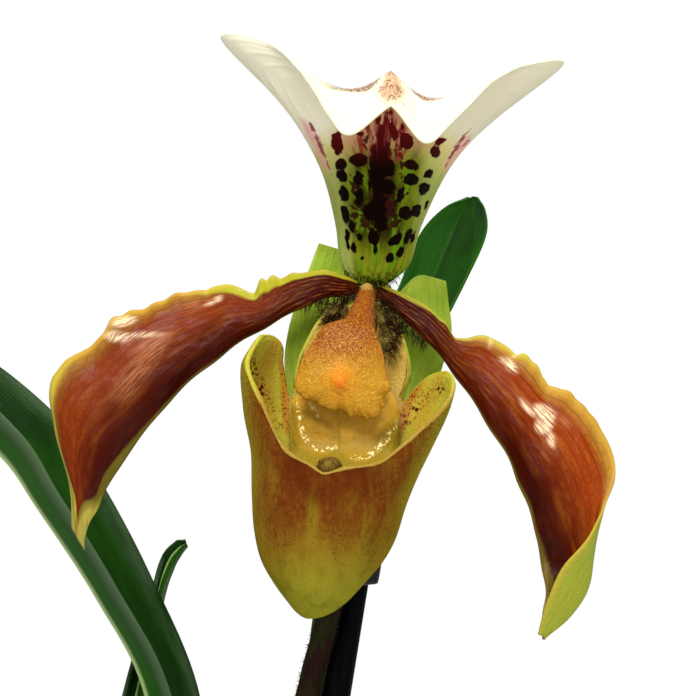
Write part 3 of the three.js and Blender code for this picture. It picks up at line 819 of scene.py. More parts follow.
    def stripes(self, value: Value, count: float, width: float, wobble: Value = 0.0) -> Socket:
        """Lines at even steps of a number: 1 on a line, 0 between the lines.

        Args:
            value: the number that runs across the lines.
            count: lines over one whole of it.
            width: a line's half width, as a share of the step.
            wobble: what is added to the number first.

        Returns:
            The lines.
        """
        counted = self.times(self.plus(value, wobble), count)
        return self.step(self.away(self.math("FRACT", counted), 0.5), width, 0.0)

    def relief(self, height: Socket, depth: float, under: Socket | None = None) -> Socket:
        """Bumps of a depth in millimetres, on top of others.

        Args:
            height: the height, as a share of the depth.
            depth: the depth.
            under: the bumps that these lie on.

        Returns:
            The bent normal.
        """
        node = self.add("ShaderNodeBump")
        node.inputs["Distance"].default_value = depth * MM
        self.feed(node.inputs["Height"], height)
        if under is not None:
            self.feed(node.inputs["Normal"], under)
        return node.outputs[0]

    def done(self, colour: Value, normal: Socket | None = None, roughness: Value | None = None) -> Material:
        """Connects the colour, the relief and a varying roughness.

        Args:
            colour: the colour of the surface.
            normal: the relief.
            roughness: the roughness, where it varies.

        Returns:
            The material.
        """
        self.feed(self.skin.inputs["Base Color"], colour)
        if normal is not None:
            self.feed(self.skin.inputs["Normal"], normal)
            self.feed(self.skin.inputs["Coat Normal"], normal)
        if roughness is not None:
            self.feed(self.skin.inputs["Roughness"], roughness)
        return self.material


# Finishes of the flower


@dataclass(frozen=True)
class PetalFinish:
    """Glossy mahogany with dark veins, maroon stripes at its base and a yellow-green rim, with painted
    highlights and a painted sheen.
    """

    dark: tuple = srgb(42, 3, 0)
    brown: tuple = srgb(90, 26, 2)
    orange: tuple = srgb(140, 52, 6)
    gold: tuple = srgb(160, 88, 18)
    vein: tuple = srgb(60, 9, 1)
    base: tuple = srgb(52, 5, 1)
    streak: tuple = srgb(146, 84, 18)
    tan: tuple = srgb(176, 126, 44)
    rim: tuple = srgb(170, 152, 50)
    lime: tuple = srgb(150, 146, 30)
    shadow: tuple = srgb(96, 88, 20)
    under: tuple = srgb(146, 156, 50)
    gloss: tuple = srgb(232, 204, 164)
    painted_sheen: tuple = srgb(180, 120, 76)

    def face(self, name: str, orange_at: float, lime_end: float, rim_from: float, rim_band: float,
             low_band: float) -> Material:
        """The upper side.

        Args:
            name: the material's name.
            orange_at: how far along the petal its orange is strongest.
            lime_end: how far along the petal its wide lime margin reaches.
            rim_from: how far across the petal its pale rim begins.
            rim_band: the strength of the tan band inside the rim.
            low_band: how far the pale lower edge reaches across the petal's outer half.

        Returns:
            The material.
        """
        f = Finish(name, 0.3, flesh=(0.1, 2, 0.6, 0.2), Specular_IOR_Level=0.04, Coat_Weight=0.04,
                   Coat_Roughness=0.2)
        uv, u, v = f.sheet()
        drift = f.cloud(uv, (5, 2.2, 1), 3)
        wobble = f.swing(drift, 0.14)
        mottle = f.cloud(uv, (13, 11, 1), 4, 0.6)
        across = f.ramp(f.plus(v, wobble),
                        [(0.0, self.dark), (0.16, self.dark), (0.36, self.brown), (0.62, self.orange),
                         (0.8, self.orange), (0.92, self.brown), (1.0, self.brown)])
        middle = f.times(f.step(u, orange_at - 0.35, orange_at - 0.05),
                         f.step(u, orange_at + 0.45, orange_at + 0.1))
        f.ground = f.mix(f.minus(1, middle), across, f.mix(0.5, across, self.brown))
        golden = f.times(f.step(mottle, 0.42, 0.78, 0, 0.6), f.step(v, 0.16, 0.4, 0.12, 1))
        f.over(self.gold, golden)
        band = f.times(f.step(f.plus(v, wobble), rim_from - 0.16, rim_from - 0.02), rim_band)
        f.over(self.tan, band)
        veins = f.stripes(v, 12, 0.3, wobble)
        fine = f.stripes(v, 27, 0.34, wobble)
        net = f.step(f.cells(uv, (58, 19, 1), feature="DISTANCE_TO_EDGE"), 0.2, 0.03)
        lines = f.math("MAXIMUM", f.times(veins, f.step(u, 0.4, 0.8, 0.5, 0.26)),
                       f.times(net, f.step(u, 0.3, 0.7, 0.12, 0.3)))
        lines = f.math("MAXIMUM", lines, f.times(fine, f.step(u, 0.3, 0.7, 0.25, 0.1)))
        f.over(self.vein, lines)
        brushed = f.cloud(uv, (26, 15, 1), 4, 0.65, 0.6)
        streaks = f.times(f.stripes(v, 8, 0.3, wobble), f.step(brushed, 0.42, 0.56))
        striped = f.mix(f.times(streaks, 0.6), self.base, self.streak)
        striped = f.mix(f.step(brushed, 0.56, 0.4, 0, 0.5), striped, self.vein)
        f.over(striped, f.step(f.plus(u, wobble), 0.36, 0.14))
        ragged = f.plus(v, f.swing(mottle, 0.06))
        high = f.step(u, lime_end + 0.08, lime_end - 0.12, 0, 0.17)
        f.over(self.lime, f.step(f.plus(ragged, high), 0.95, 1.02))
        tip = f.plus(f.step(u, 0.66, 0.8, 0, 0.035), f.step(u, 0.82, 0.97, 0, 0.4))
        warm = f.times(f.step(u, 0.42, 0.5), f.step(u, 0.76, 0.68, 0, 0.7))
        edge = f.mix(warm, self.rim, self.tan)
        f.over(edge, f.step(f.plus(ragged, tip), rim_from - 0.04, rim_from + 0.035))
        below = f.minus(f.minus(ragged, tip), f.step(u, 0.55, 0.88, 0, low_band))
        f.over(self.shadow, f.step(below, 0.05, 0.012, 0, 0.75))
        f.over(self.rim, f.step(f.minus(ragged, tip), -0.02, -0.14))
        aside = f.away(v, 0.5)
        end = f.plus(f.plus(u, f.times(wobble, 0.4)), f.times(aside, 0.3))
        f.over(srgb(150, 136, 58), f.step(end, 0.94, 1.02))
        # painted sheen: a soft tan laid in streaks where the petal's broad sheen stands
        strands = f.cloud(uv, (26, 62, 1), 3, 0.65, 0.6)
        soft = f.times(f.kept("painted_sheen"), f.step(strands, 0.38, 0.62, 0.04, 0.55))
        f.over(self.painted_sheen, soft)
        # painted highlights: pale cream laid in streaks where the petal's highlights stand
        f.over(self.gloss, f.kept("gloss"), f.step(strands, 0.4, 0.56, 0.15, 0.95))
        swell = f.cloud(uv, (9, 3, 1), 2)
        wrinkles = f.cloud(uv, (24, 10, 1), 3, 0.6, 0.5)
        low = f.relief(lines, 0.02, f.relief(wrinkles, 0.13))
        return f.done(f.ground, f.relief(swell, 0.9, low), f.step(mottle, 0.3, 0.7, 0.4, 0.5))

    def back(self, name: str) -> Material:
        """The paler underside, with the veins showing through.

        Args:
            name: the material's name.

        Returns:
            The material.
        """
        f = Finish(name, 0.42, flesh=(0.12, 2, 1.2, 0.5))
        uv, _, v = f.sheet()
        drift = f.cloud(uv, (6, 2, 1), 3)
        wobble = f.swing(drift, 0.1)
        veins = f.stripes(v, 13, 0.3, wobble)
        f.ground = f.mix(f.step(v, 0.5, 0.1, 0, 0.6), self.under, self.brown)
        grain = f.cells(f.solid(), 2400)
        f.over(srgb(120, 118, 34), veins, 0.07)
        f.over(self.lime, f.step(drift, 0.42, 0.62, 0, 0.35))
        f.over(self.rim, f.step(v, 0.93, 0.98, 0, 0.8))
        return f.done(f.ground, f.relief(grain, 0.06, f.relief(veins, 0.03)))


@dataclass(frozen=True)
class DorsalFinish:
    """Lime green with maroon spots inside, white and softly haired outside."""

    lime: tuple = srgb(128, 136, 24)
    green: tuple = srgb(98, 116, 12)
    vivid: tuple = srgb(92, 134, 14)
    deep: tuple = srgb(42, 46, 5)
    pale: tuple = srgb(168, 174, 98)
    cream: tuple = srgb(206, 196, 122)
    maroon: tuple = srgb(13, 3, 0)
    red: tuple = srgb(90, 10, 10)
    brown: tuple = srgb(44, 15, 7)
    rose: tuple = srgb(196, 144, 108)
    streak: tuple = srgb(120, 42, 44)
    flush: tuple = srgb(222, 158, 156)
    shaded_wing: tuple = srgb(214, 208, 180)
    wing: tuple = srgb(232, 227, 200)
    white: tuple = srgb(210, 213, 182)
    tan: tuple = srgb(186, 148, 112)
    rust: tuple = srgb(112, 58, 40)
    wine: tuple = srgb(126, 16, 28)

    def inside(self) -> Material:
        """The spotted side.

        Returns:
            The material.
        """
        f = Finish("dorsal_inside", 0.42, flesh=(0.12, 2, 1.5, 0.6), Specular_IOR_Level=0.02)
        uv, _, v = f.sheet()
        drift = f.cloud(uv, (5, 3, 1), 3)
        wobble = f.swing(drift, 0.06)
        veins = f.stripes(v, 17, 0.3, wobble)
        shade = f.cloud(uv, (7, 17, 1), 3, 0.6)
        up = f.kept("height")
        f.ground = f.mix(f.step(up, 9, 1.5), f.mix(f.step(shade, 0.35, 0.65), self.lime, self.green),
                         self.lime)
        f.over(self.deep, f.step(shade, 0.5, 0.7, 0, 0.6))
        f.over(self.deep, veins, 0.22)
        edge = f.away(v, 0.5)
        f.over(self.pale, f.step(edge, 0.4, 0.49), 0.7)
        patches = f.cloud(uv, (7, 12, 1), 3, 0.6, shift=(2, 5, 0))
        f.over(self.deep, f.kept("shade"), f.step(patches, 0.6, 0.42, 0.5, 1))
        f.over(self.vivid, f.step(patches, 0.5, 0.6), f.step(up, 19, 13, 0, 0.95))
        f.over(self.pale, f.kept("side"), 0.6)
        # partly the sepal's paler band below its wings, partly painted light that lifts the shade of its
        # turned-away sides
        f.over(self.cream, f.kept("paling"))
        f.over(self.rose, f.kept("blush"), f.step(drift, 0.25, 0.6, 0.5, 1))
        # painted shade: the right wing takes a darker cream than the left
        f.over(f.mix(f.kept("right_wing_shade"), self.wing, self.shaded_wing), f.kept("fade"))
        rough = f.minus(f.cloud(f.solid(), (1250, 1250, 900), 2), 0.5)
        ragged = f.times(rough, 0.62)
        f.over(self.flush, f.step(f.plus(f.kept("flush"), ragged), -0.35, 0.3, 0, 0.75))
        f.over(self.streak, f.step(f.plus(f.kept("dash"), ragged), -0.12, 0.06, 0, 0.9))
        stain = f.step(f.plus(f.kept("stain"), f.times(rough, 3.4)), -0.05, 0.3, 0, 0.95)
        f.over(self.brown, stain)
        ink = f.mix(f.step(up, 15.5, 23), self.maroon, self.red)
        fibres = f.cloud(uv, (9, 46, 1), 3, 0.6)
        veil = f.times(f.kept("veil"), f.step(fibres, 0.42, 0.56))
        f.over(self.wine, veil, 0.85)
        frayed = f.plus(f.kept("wedge"), f.swing(fibres, 3.2))
        wedge = f.step(f.plus(frayed, f.times(rough, 1.6)), -0.12, 0.25)
        lines = f.step(f.cloud(uv, (7, 60, 1), 3, 0.6), 0.5, 0.6)
        lit = f.times(lines, f.step(up, 16.5, 21, 0, 0.75))
        f.over(f.mix(lit, ink, self.streak), wedge, f.kept("wedge_strength"))
        spot = f.plus(f.kept("spot"), ragged)
        f.over(ink, f.step(spot, -0.1, 0.03))
        low = f.relief(f.step(spot, -0.1, 0.2), 0.08, f.relief(f.plus(veins, shade), 0.05))
        return f.done(f.ground, low, f.step(spot, -0.1, 0.1, 0.5, 0.42))

    def outside(self) -> Material:
        """The white side with its short hairs.

        Returns:
            The material.
        """
        f = Finish("dorsal_outside", 0.75, flesh=(0.15, 2, 1.8, 1.4))
        uv, u, _ = f.sheet()
        pile = f.cloud(uv, (90, 160, 1), 4, 0.7)
        grain = f.cells(f.solid(), 3200)
        f.ground = f.mix(f.step(u, 0.5, 0.16), self.white, self.green)
        peak = f.times(f.kept("peak"), f.step(pile, 0.32, 0.58, 0.7, 1))
        f.over(self.tan, peak)
        lines = f.step(f.cloud(f.solid(), (1900, 1900, 420), 3, 0.6), 0.5, 0.62)
        f.over(self.rust, lines, f.kept("peak"), 0.75)
        freckles = f.step(f.cells(f.solid(), 1500), 0.24, 0.12)
        f.over(self.rust, freckles, f.kept("freckled"))
        ticks = f.step(f.cloud(f.solid(), (5200, 5200, 2600), 2), 0.4, 0.56, 0.45, 1)
        f.over(self.rust, ticks, f.kept("crest"))
        return f.done(f.ground, f.relief(grain, 0.04, f.relief(pile, 0.08)))


@dataclass(frozen=True)
class SynsepalFinish:
    """Light green with parallel veins."""

    green: tuple = srgb(138, 166, 40)
    pale: tuple = srgb(172, 190, 66)
    vein: tuple = srgb(88, 122, 22)

    def make(self) -> Material:
        """The material of both sides.

        Returns:
            That material.
        """
        f = Finish("synsepal_skin", 0.42, flesh=(0.15, 2, 1.8, 0.6))
        uv, _, v = f.sheet()
        drift = f.cloud(uv, (3, 2, 1), 3)
        wobble = f.swing(drift, 0.04)
        veins = f.stripes(v, 19, 0.25, wobble)
        faint = f.cloud(uv, (5, 34, 1), 3)
        f.ground = f.mix(f.step(drift, 0.3, 0.7), self.green, self.pale)
        f.over(self.vein, veins, 0.07)
        f.over(self.vein, f.step(faint, 0.45, 0.7, 0, 0.3))
        grain = f.cells(f.solid(), 2600)
        return f.done(f.ground, f.relief(grain, 0.05, f.relief(veins, 0.04)))


@dataclass(frozen=True)
class LipFinish:
    """Olive and brown outside with fine grains, yellow-green and dotted inside."""

    brown: tuple = srgb(104, 54, 15)
    rust: tuple = srgb(78, 34, 9)
    olive: tuple = srgb(124, 102, 24)
    toe: tuple = srgb(132, 128, 34)
    flank: tuple = srgb(140, 126, 36)
    rim: tuple = srgb(150, 118, 42)
    ear: tuple = srgb(168, 162, 46)
    inner: tuple = srgb(172, 164, 50)
    amber: tuple = srgb(164, 106, 30)
    cream: tuple = srgb(184, 162, 74)
    dot: tuple = srgb(76, 22, 6)
    red_dot: tuple = srgb(130, 44, 10)

    def outside(self) -> Material:
        """The outer side of the pouch.

        Returns:
            The material.
        """
        f = Finish("lip_outside", 0.6, flesh=(0.12, 3, 1.8, 0.5), Specular_IOR_Level=0.0)
        _, a, _ = f.sheet()
        mottle = f.cloud(f.solid(), (420, 420, 170), 4, 0.6)
        fine = f.cloud(f.solid(), (1500, 1500, 900), 4, 0.7)
        up = f.plus(f.kept("height"), f.swing(mottle, 6))
        front = f.away(a, 0.49)
        f.ground = f.mix(f.step(up, -44.0, -35.0), self.toe, self.olive)
        f.over(srgb(96, 98, 22), f.step(mottle, 0.5, 0.66, 0, 0.45))
        brown = f.times(f.step(up, -40.0, -30.0), f.step(front, 0.26, 0.13))
        patches = f.cloud(f.solid(), (330, 330, 90), 3, 0.6)
        brown = f.times(brown, f.step(patches, 0.34, 0.56, 0.55, 1))
        ridge = f.step(f.away(f.plus(a, 0.022), 0.49), 0.02, 0.004)
        under_rim = f.minus(f.kept("rim_height"), f.kept("height"))
        ridge = f.times(ridge, f.step(under_rim, 2.5, 5.5, 0, 0.7))
        brown = f.times(brown, f.minus(1, ridge))
        f.over(f.mix(f.step(fine, 0.36, 0.66, 0, 0.6), self.brown, self.rust), brown)
        f.over(self.flank, f.step(fine, 0.5, 0.3, 0, 0.1))
        shaded = f.times(f.step(under_rim, 6, 2, 0, 0.75), f.step(front, 0.17, 0.06))
        f.over(srgb(72, 24, 6), shaded, f.step(mottle, 0.35, 0.6, 0.6, 1))
        f.over(self.flank, f.step(front, 0.15, 0.24), f.step(up, -38.0, -25.0))
        veins = f.stripes(a, 46, 0.2, f.swing(mottle, 0.02))
        f.over(self.rust, veins, 0.06)
        specks = f.step(f.cells(f.solid(), 2300), 0.4, 0.16)
        specks = f.times(specks, f.step(up, -41.0, -33.0, 0.15, 1))
        f.over(self.rust, specks, f.step(mottle, 0.35, 0.6, 0.3, 0.75))
        edge = f.step(under_rim, 9, 1)
        grains = f.step(f.cells(f.solid(), 2100, (3, 1, 2)), 0.36, 0.2)
        f.over(self.dot, grains, f.times(edge, f.step(front, 0.1, 0.2, 0.15, 0.85)))
        papillae = f.cells(f.solid(), 2600)
        return f.done(f.ground, f.relief(papillae, 0.05, f.relief(mottle, 0.12)),
                      f.step(fine, 0.3, 0.7, 0.55, 0.7))

    def inside(self) -> Material:
        """The inner side, dotted near the rim and darker below.

        Returns:
            The material.
        """
        f = Finish("lip_inside", 0.34, flesh=(0.4, 4, 3, 1))
        uv, a, _ = f.sheet()
        up = f.kept("height")
        cloud = f.cloud(uv, (16, 5, 1), 3)
        behind = f.away(a, 0.5)
        f.ground = f.mix(f.step(up, -36.0, -26.0), self.brown, self.inner)
        shell = f.mix(f.step(cloud, 0.35, 0.7), self.cream, f.mix(0.5, self.cream, self.amber))
        f.over(shell, f.step(behind, 0.385, 0.41))
        stain = f.times(f.step(f.away(behind, 0.345), 0.04, 0.008), f.step(cloud, 0.3, 0.6, 0.1, 0.5))
        f.over(self.amber, stain)
        f.over(self.amber, f.kept("dotted"), 0.2)
        f.over(self.amber, f.kept("red_dotted"), 0.85)
        large = f.step(f.cells(f.solid(), 1150), 0.42, 0.3)
        small = f.step(f.cells(f.solid(), 2300, (3, 5, 0)), 0.4, 0.28)
        dots = f.math("MAXIMUM", f.times(large, f.step(cloud, 0.44, 0.54)), f.times(small, 0.75))
        f.over(self.dot, dots, f.kept("dotted"))
        f.over(self.red_dot, small, 1.2, f.kept("red_dotted"))
        return f.done(f.ground, f.relief(f.cells(f.solid(), 2200), 0.08))

    def bead(self) -> Material:
        """The rolled rim.

        Returns:
            The material.
        """
        f = Finish("lip_rim", 0.34, flesh=(0.2, 3, 2, 0.6), Coat_Weight=0.15, Coat_Roughness=0.25)
        cloud = f.cloud(f.solid(), 420, 3)
        f.ground = f.mix(f.step(cloud, 0.35, 0.7), self.rim, f.mix(0.5, self.rim, self.flank))
        f.over(self.ear, f.step(f.kept("height"), -18.0, -12.0))
        return f.done(f.ground, f.relief(f.cells(f.solid(), 2400), 0.07))

    def lobe(self) -> Material:
        """The glossy infolded lobes in the mouth of the pouch, with painted glints along their lower edges
        and painted light where the staminode's shadow falls.

        Returns:
            The material.
        """
        f = Finish("lip_lobe", 0.3, flesh=(0.35, 4, 2.4, 0.6), Specular_IOR_Level=0.06, Coat_Weight=0.1,
                   Coat_Roughness=0.1)
        cloud = f.cloud(f.solid(), (300, 300, 200), 3)
        fine = f.cloud(f.solid(), (2600, 2600, 1800), 3)
        f.ground = f.mix(f.step(cloud, 0.35, 0.65), srgb(160, 118, 26), srgb(172, 132, 34))
        f.over(srgb(156, 124, 28), f.kept("shelf"))
        # painted light: a pale yellow laid where the staminode's shadow falls on the lobes
        f.over(srgb(228, 178, 62), f.kept("shaded"), 0.85)
        f.over(srgb(132, 114, 30), f.kept("pool"), 0.7)
        f.over(srgb(206, 184, 88), f.kept("margin"), 0.6)
        # painted glints: pale yellow specks along the lobes' lower edges
        glints = f.times(f.step(fine, 0.5, 0.58), f.kept("painted_glint"))
        f.over(srgb(246, 232, 166), glints)
        return f.done(f.ground, f.relief(fine, 0.22, f.relief(cloud, 0.3)))


@dataclass(frozen=True)
class ShieldFinish:
    """Orange-yellow and grainy, rusty and haired towards the top, with painted sparkles on its grains and a
    painted lighter lower rim.
    """

    yellow: tuple = srgb(168, 120, 24)
    peach: tuple = srgb(150, 88, 22)
    orange: tuple = srgb(222, 116, 28)
    rust: tuple = srgb(148, 80, 20)
    dots: tuple = srgb(112, 40, 10)
    pale: tuple = srgb(192, 126, 26)
    painted_sparkle: tuple = srgb(228, 184, 76)
    tip: tuple = srgb(196, 160, 84)

    def make(self) -> Material:
        """The material of the staminode and the column.

        Returns:
            That material.
        """
        f = Finish("column_skin", 0.4, flesh=(0.2, 3, 1.6, 0.4), Specular_IOR_Level=0.08)
        solid = f.solid()
        grains = f.cells(solid, 3600)
        cloud = f.cloud(solid, 420, 3)
        near = f.kept("umbo")
        high = f.kept("neck")
        f.ground = f.mix(f.step(f.plus(high, f.times(cloud, 0.3)), 0.08, 0.62), self.yellow, self.peach)
        f.over(self.pale, f.step(near, 3, 1.2, 0, 0.8))
        f.over(self.orange, f.step(f.plus(near, f.times(cloud, 0.4)), 1.5, 0.7, 0, 0.85))
        f.over(self.rust, f.step(high, 0.45, 0.95))
        chance = f.plus(f.times(f.math("MINIMUM", high, 0.55), 0.74), f.times(cloud, 0.3))
        flecks = f.step(f.minus(f.cells(solid, 3300), chance), 0.05, -0.05)
        f.over(self.dots, flecks, f.step(near, 0.8, 1.8, 0, 0.75))
        # painted glints: pale yellow sparkles on the grains, fewer towards the top
        painted_sparkle = f.times(f.step(f.cells(solid, 3100, (1, 4, 2)), 0.28, 0.18),
                          f.step(cloud, 0.42, 0.58, 0.25, 1))
        f.over(self.painted_sparkle, painted_sparkle, f.step(high, 0.9, 0.1, 0.45, 0.7))
        # painted glints: the finest pale specks, more of them away from the umbo
        dust = f.step(f.cells(solid, 4700, (2, 7, 3)), 0.42, 0.26, 0, 0.28)
        f.over(self.painted_sparkle, dust, f.step(near, 0.8, 2, 0.3, 1))
        # painted light: the staminode's lower rim is laid paler where its rounded edge turns from the light
        f.over(self.pale, f.kept("painted_light_brim"), 0.6)
        top = f.times(f.step(near, 7, 9), f.step(high, 0.5, 0.25, 0, 0.7))
        f.over(self.tip, top)
        return f.done(f.ground, f.relief(grains, 0.05))


@dataclass(frozen=True)
class HairFinish:
    """Hairs of one colour."""

    name: str
    colour: tuple
    roughness: float = 0.5

    def make(self) -> Material:
        """The material of the hairs, a little uneven in tone.

        Returns:
            That material.
        """
        f = Finish(self.name, self.roughness)
        tone = f.cloud(f.solid(), 900, 1)
        darker = tuple(0.6 * c for c in self.colour[:3]) + (1.0,)
        return f.done(f.mix(f.step(tone, 0.35, 0.65), darker, self.colour))


# The flower


def inside_marks(table: Sequence, across: Row, down: Row) -> Row:
    """How far inside the nearest mark each place lies.

    Args:
        table: the marks: across and down the portrait, width, height, and lean in degrees.
        across: places across the portrait, in its elements.
        down: places down it.

    Returns:
        Millimetres inside a mark, negative outside them all.
    """
    best = np.full(len(across), -9.0)
    for x, y, width, height, lean in table:
        turn = np.radians(lean)
        dx, dy = across - x, down - y
        side = dx * np.cos(turn) + dy * np.sin(turn)
        rise = dy * np.cos(turn) - dx * np.sin(turn)
        reach = np.hypot(side / (width / 2), rise / (height / 2))
        best = np.maximum(best, (1 - reach) * min(width, height) / 2 * ELEMENT)
    return best


@dataclass
class DorsalSepal:
    """The upper sepal: spotted inside, its sides rolled back and its white top flopped forward."""

    rows: tuple = (
        [[-1.8, 0.3, 0.5], [-1.2, 0.2, 0.2], [-0.3, 0.1, 0.0], [0.6, 0.0, -0.1],
         [1.5, 0.1, 0.0], [2.4, 0.2, 0.2], [3.0, 0.3, 0.5]],
        [[-3.0, 2.9, 3.4], [-3.5, 1.1, 3.0], [-1.5, -0.6, 2.7], [1.0, -1.0, 2.6],
         [3.5, -0.6, 2.7], [5.5, 1.2, 3.0], [5.1, 3.2, 3.4]],
        [[-3.7, 4.4, 9.4], [-4.2, 0.6, 8.4], [-1.6, -2.5, 8.0], [1.4, -3.4, 8.0],
         [4.5, -2.5, 8.0], [7.2, 0.6, 8.4], [6.7, 4.4, 9.4]],
        [[-6.0, 2.8, 17.0], [-5.8, -2.6, 15.2], [-1.8, -6.3, 14.8], [2.2, -7.4, 14.6],
         [6.2, -6.3, 14.8], [10.2, -2.6, 15.2], [10.9, 2.4, 16.6]],
        [[-11.2, -4.6, 24.4], [-8.7, -8.2, 21.4], [-3.4, -10.2, 19.6], [2.5, -10.8, 19.0],
         [8.1, -10.2, 18.9], [13.3, -8.2, 20.2], [17.3, -4.6, 22.8]],
        [[-20.2, -11.0, 33.8], [-13.0, -12.2, 29.0], [-6.0, -13.4, 25.0], [2.7, -13.4, 23.4],
         [10.6, -13.6, 22.8], [18.0, -12.4, 25.4], [26.7, -11.0, 30.2]],
        [[-14.0, -15.2, 33.0], [-7.8, -16.6, 28.3], [-3.0, -17.4, 25.9], [3.0, -17.2, 25.9],
         [8.6, -17.6, 24.7], [14.0, -17.0, 26.2], [21.3, -15.4, 29.8]],
        [[-8.4, -18.8, 28.6], [-5.3, -21.8, 22.4], [-2.6, -23.4, 19.8], [3.0, -22.4, 22.2],
         [7.6, -23.6, 18.7], [11.2, -22.0, 21.6], [16.6, -18.8, 27.4]],
    )
    keel_width: float = 0.17
    keel_crest: float = 2.7
    thick: float = 0.55
    spots: tuple = (
        # across and down in the portrait, width and height in its elements, lean in degrees
        (338, 142, 11, 22, -8), (342, 163, 12, 11, -30), (343, 175, 9, 13, -30), (345.5, 193, 9, 17, -14),
        (346.5, 213, 8, 18, -10), (353, 225.5, 6, 11, -8), (348.8, 234.5, 5, 12, -6), (349.5, 245, 3, 9, 0),
        (354.6, 246.8, 4.5, 11, 0), (360.3, 237, 4.5, 8, 0), (363, 257.7, 3, 3.5, 0), (359, 159, 18, 13, 0),
        (359, 178, 8, 14, 0), (360, 195, 8, 18, 0), (393.5, 130, 7.5, 17, -18),
        (406.6, 140.4, 13.5, 16, -12), (411, 163.7, 16, 10, 12), (410.6, 178.5, 14, 12.5, 8),
        (400, 194, 6, 15, 20), (404, 212, 12.5, 13.5, 10), (415, 209.6, 8.5, 13, 22),
        (394.5, 239.3, 8.5, 15, 48), (406, 235.5, 6, 17.5, 22), (398.7, 252.4, 5, 13.5, 20),
        (389.4, 257.3, 6.5, 9.5, 8), (411.4, 236.6, 2.8, 9, 14), (434.7, 150.4, 10, 11, 25),
        (439.3, 139.8, 7, 11, 55), (427.3, 172.5, 8.5, 10, 40), (423, 187.3, 10, 12.5, 28),
        (425, 203.8, 3, 7, 15), (373.4, 174, 8, 20, 4), (390.3, 165.8, 9, 18, -6),
        (388, 186, 13.5, 14.5, 0), (373.4, 210, 17, 19, 0), (380.8, 222, 12.5, 19, 0),
        (373.8, 236.6, 10.5, 16.5, 0), (375.5, 249, 4.5, 11, -6), (379.5, 198, 7, 26, 0),
        (378.7, 119.5, 4, 9, 28), (403, 125, 3.4, 7, -20), (360.5, 133, 8, 4.5, 10),
    )
    stains: tuple = (
        (358, 182, 13, 26, 0), (358.5, 209, 12, 34, 0), (365, 221, 13, 18, 0), (391, 205, 14, 22, 20),
        (393.5, 221, 14, 20, 0), (400, 194, 9, 24, 20), (366, 140, 6, 18, 10), (401, 156, 5, 28, 0),
        (396, 152, 6, 16, -10), (381, 208, 24, 56, 0),
    )
    dashes: tuple = (
        (311.5, 123, 1.6, 7, -34), (316, 131, 1.9, 19, -32), (322.5, 148, 2.6, 24, -26),
        (328, 160, 1.4, 14, -20), (460, 138, 2.2, 14, 42), (455.5, 146, 2.4, 17, 36),
        (451, 153, 2.0, 12, 32), (464, 142, 1.2, 8, 44), (446, 162, 1.4, 12, 28),
    )
    flushes: tuple = (
        (313, 134, 9, 34, -32), (323, 156, 6, 26, -24), (458, 147, 9, 30, 40), (448, 160, 6, 18, 30),
    )
    # down the portrait, and across it or half a width there, in its elements
    midrib: tuple = ((107, 390.4), (118, 387.5), (130, 384.5), (150, 380.5), (165, 378.5), (185, 379),
                     (225, 380.5), (270, 382))
    wedge_half: tuple = ((104, -2), (112, 2), (118, 5), (125, 8), (140, 10.5), (160, 10.5), (185, 9.5),
                         (198, 6), (222, 6), (244, 1))
    veil_half: tuple = ((106, 1), (118, 15), (132, 26), (146, 30), (158, 22), (176, 12), (196, 8), (230, 6))
    flank_half: tuple = ((120, 74), (140, 62), (170, 52), (200, 45), (230, 39), (260, 36))
    peak_half: tuple = ((68, 1), (72, 3), (80, 6), (87, 9), (93, 12), (99, 9), (106, 5), (112, 2))
    # across the portrait and down it
    crest_line: tuple = ((300, 68), (319, 85), (345, 91), (369, 90), (391, 72), (419, 98), (438, 100),
                         (461, 91), (494, 79))
    # places across the portrait
    top_at: float = 387
    blade_at: float = 384
    right_from: float = 430
    shade_at: float = 378
    peak_at: float = 391.5
    freckles_at: float = 391
    # from nought to full, down the portrait or out from one of those places
    wedge_down: tuple = (246, 226)
    veil_down: tuple = (236, 190)
    fade_down: tuple = (146, 112)
    fade_out: tuple = (20, 52)
    blush_down: tuple = (164, 132)
    blush_out: tuple = (62, 40)
    paling_down: tuple = (196, 130)
    paling_out: tuple = (26, 52)
    shade_out: tuple = (36, 10)
    shade_top: tuple = (138, 166)
    shade_low: tuple = (264, 232)
    peak_down: tuple = (108, 96)
    freckles_out: tuple = (30, 12)
    freckles_down: tuple = (116, 106)
    crest_out: tuple = (78, 40)

    def surface(self, u: Row, v: Row) -> Points:
        """Points of the sepal, its keel and the small waves of its margin included.

        Args:
            u: places along it, from 0 to 1.
            v: places across it, from -1 to 1.

        Returns:
            The points in millimetres.
        """
        table = np.array(self.rows, float)
        rows = along(table.reshape(len(table), -1), u).reshape(-1, table.shape[1], 3)
        p = along(rows, (v + 1) / 2)
        sharp = 0.45 * np.exp(-(v / self.keel_width) ** 2)
        sharp += 0.55 * np.exp(-np.abs(v) / (0.6 * self.keel_width))
        ridge = self.keel_crest * ease(u, 0.55, 0.85) * sharp
        p[:, 2] += ridge * (1 - 0.4 * ease(u, 0.85, 1.0))
        wave = ease(np.abs(v), 0.6, 1.0) * ease(u, 0.3, 0.6)
        p[:, 1] += 0.12 * wave * np.sin(13 * u + 3 * v)
        return p

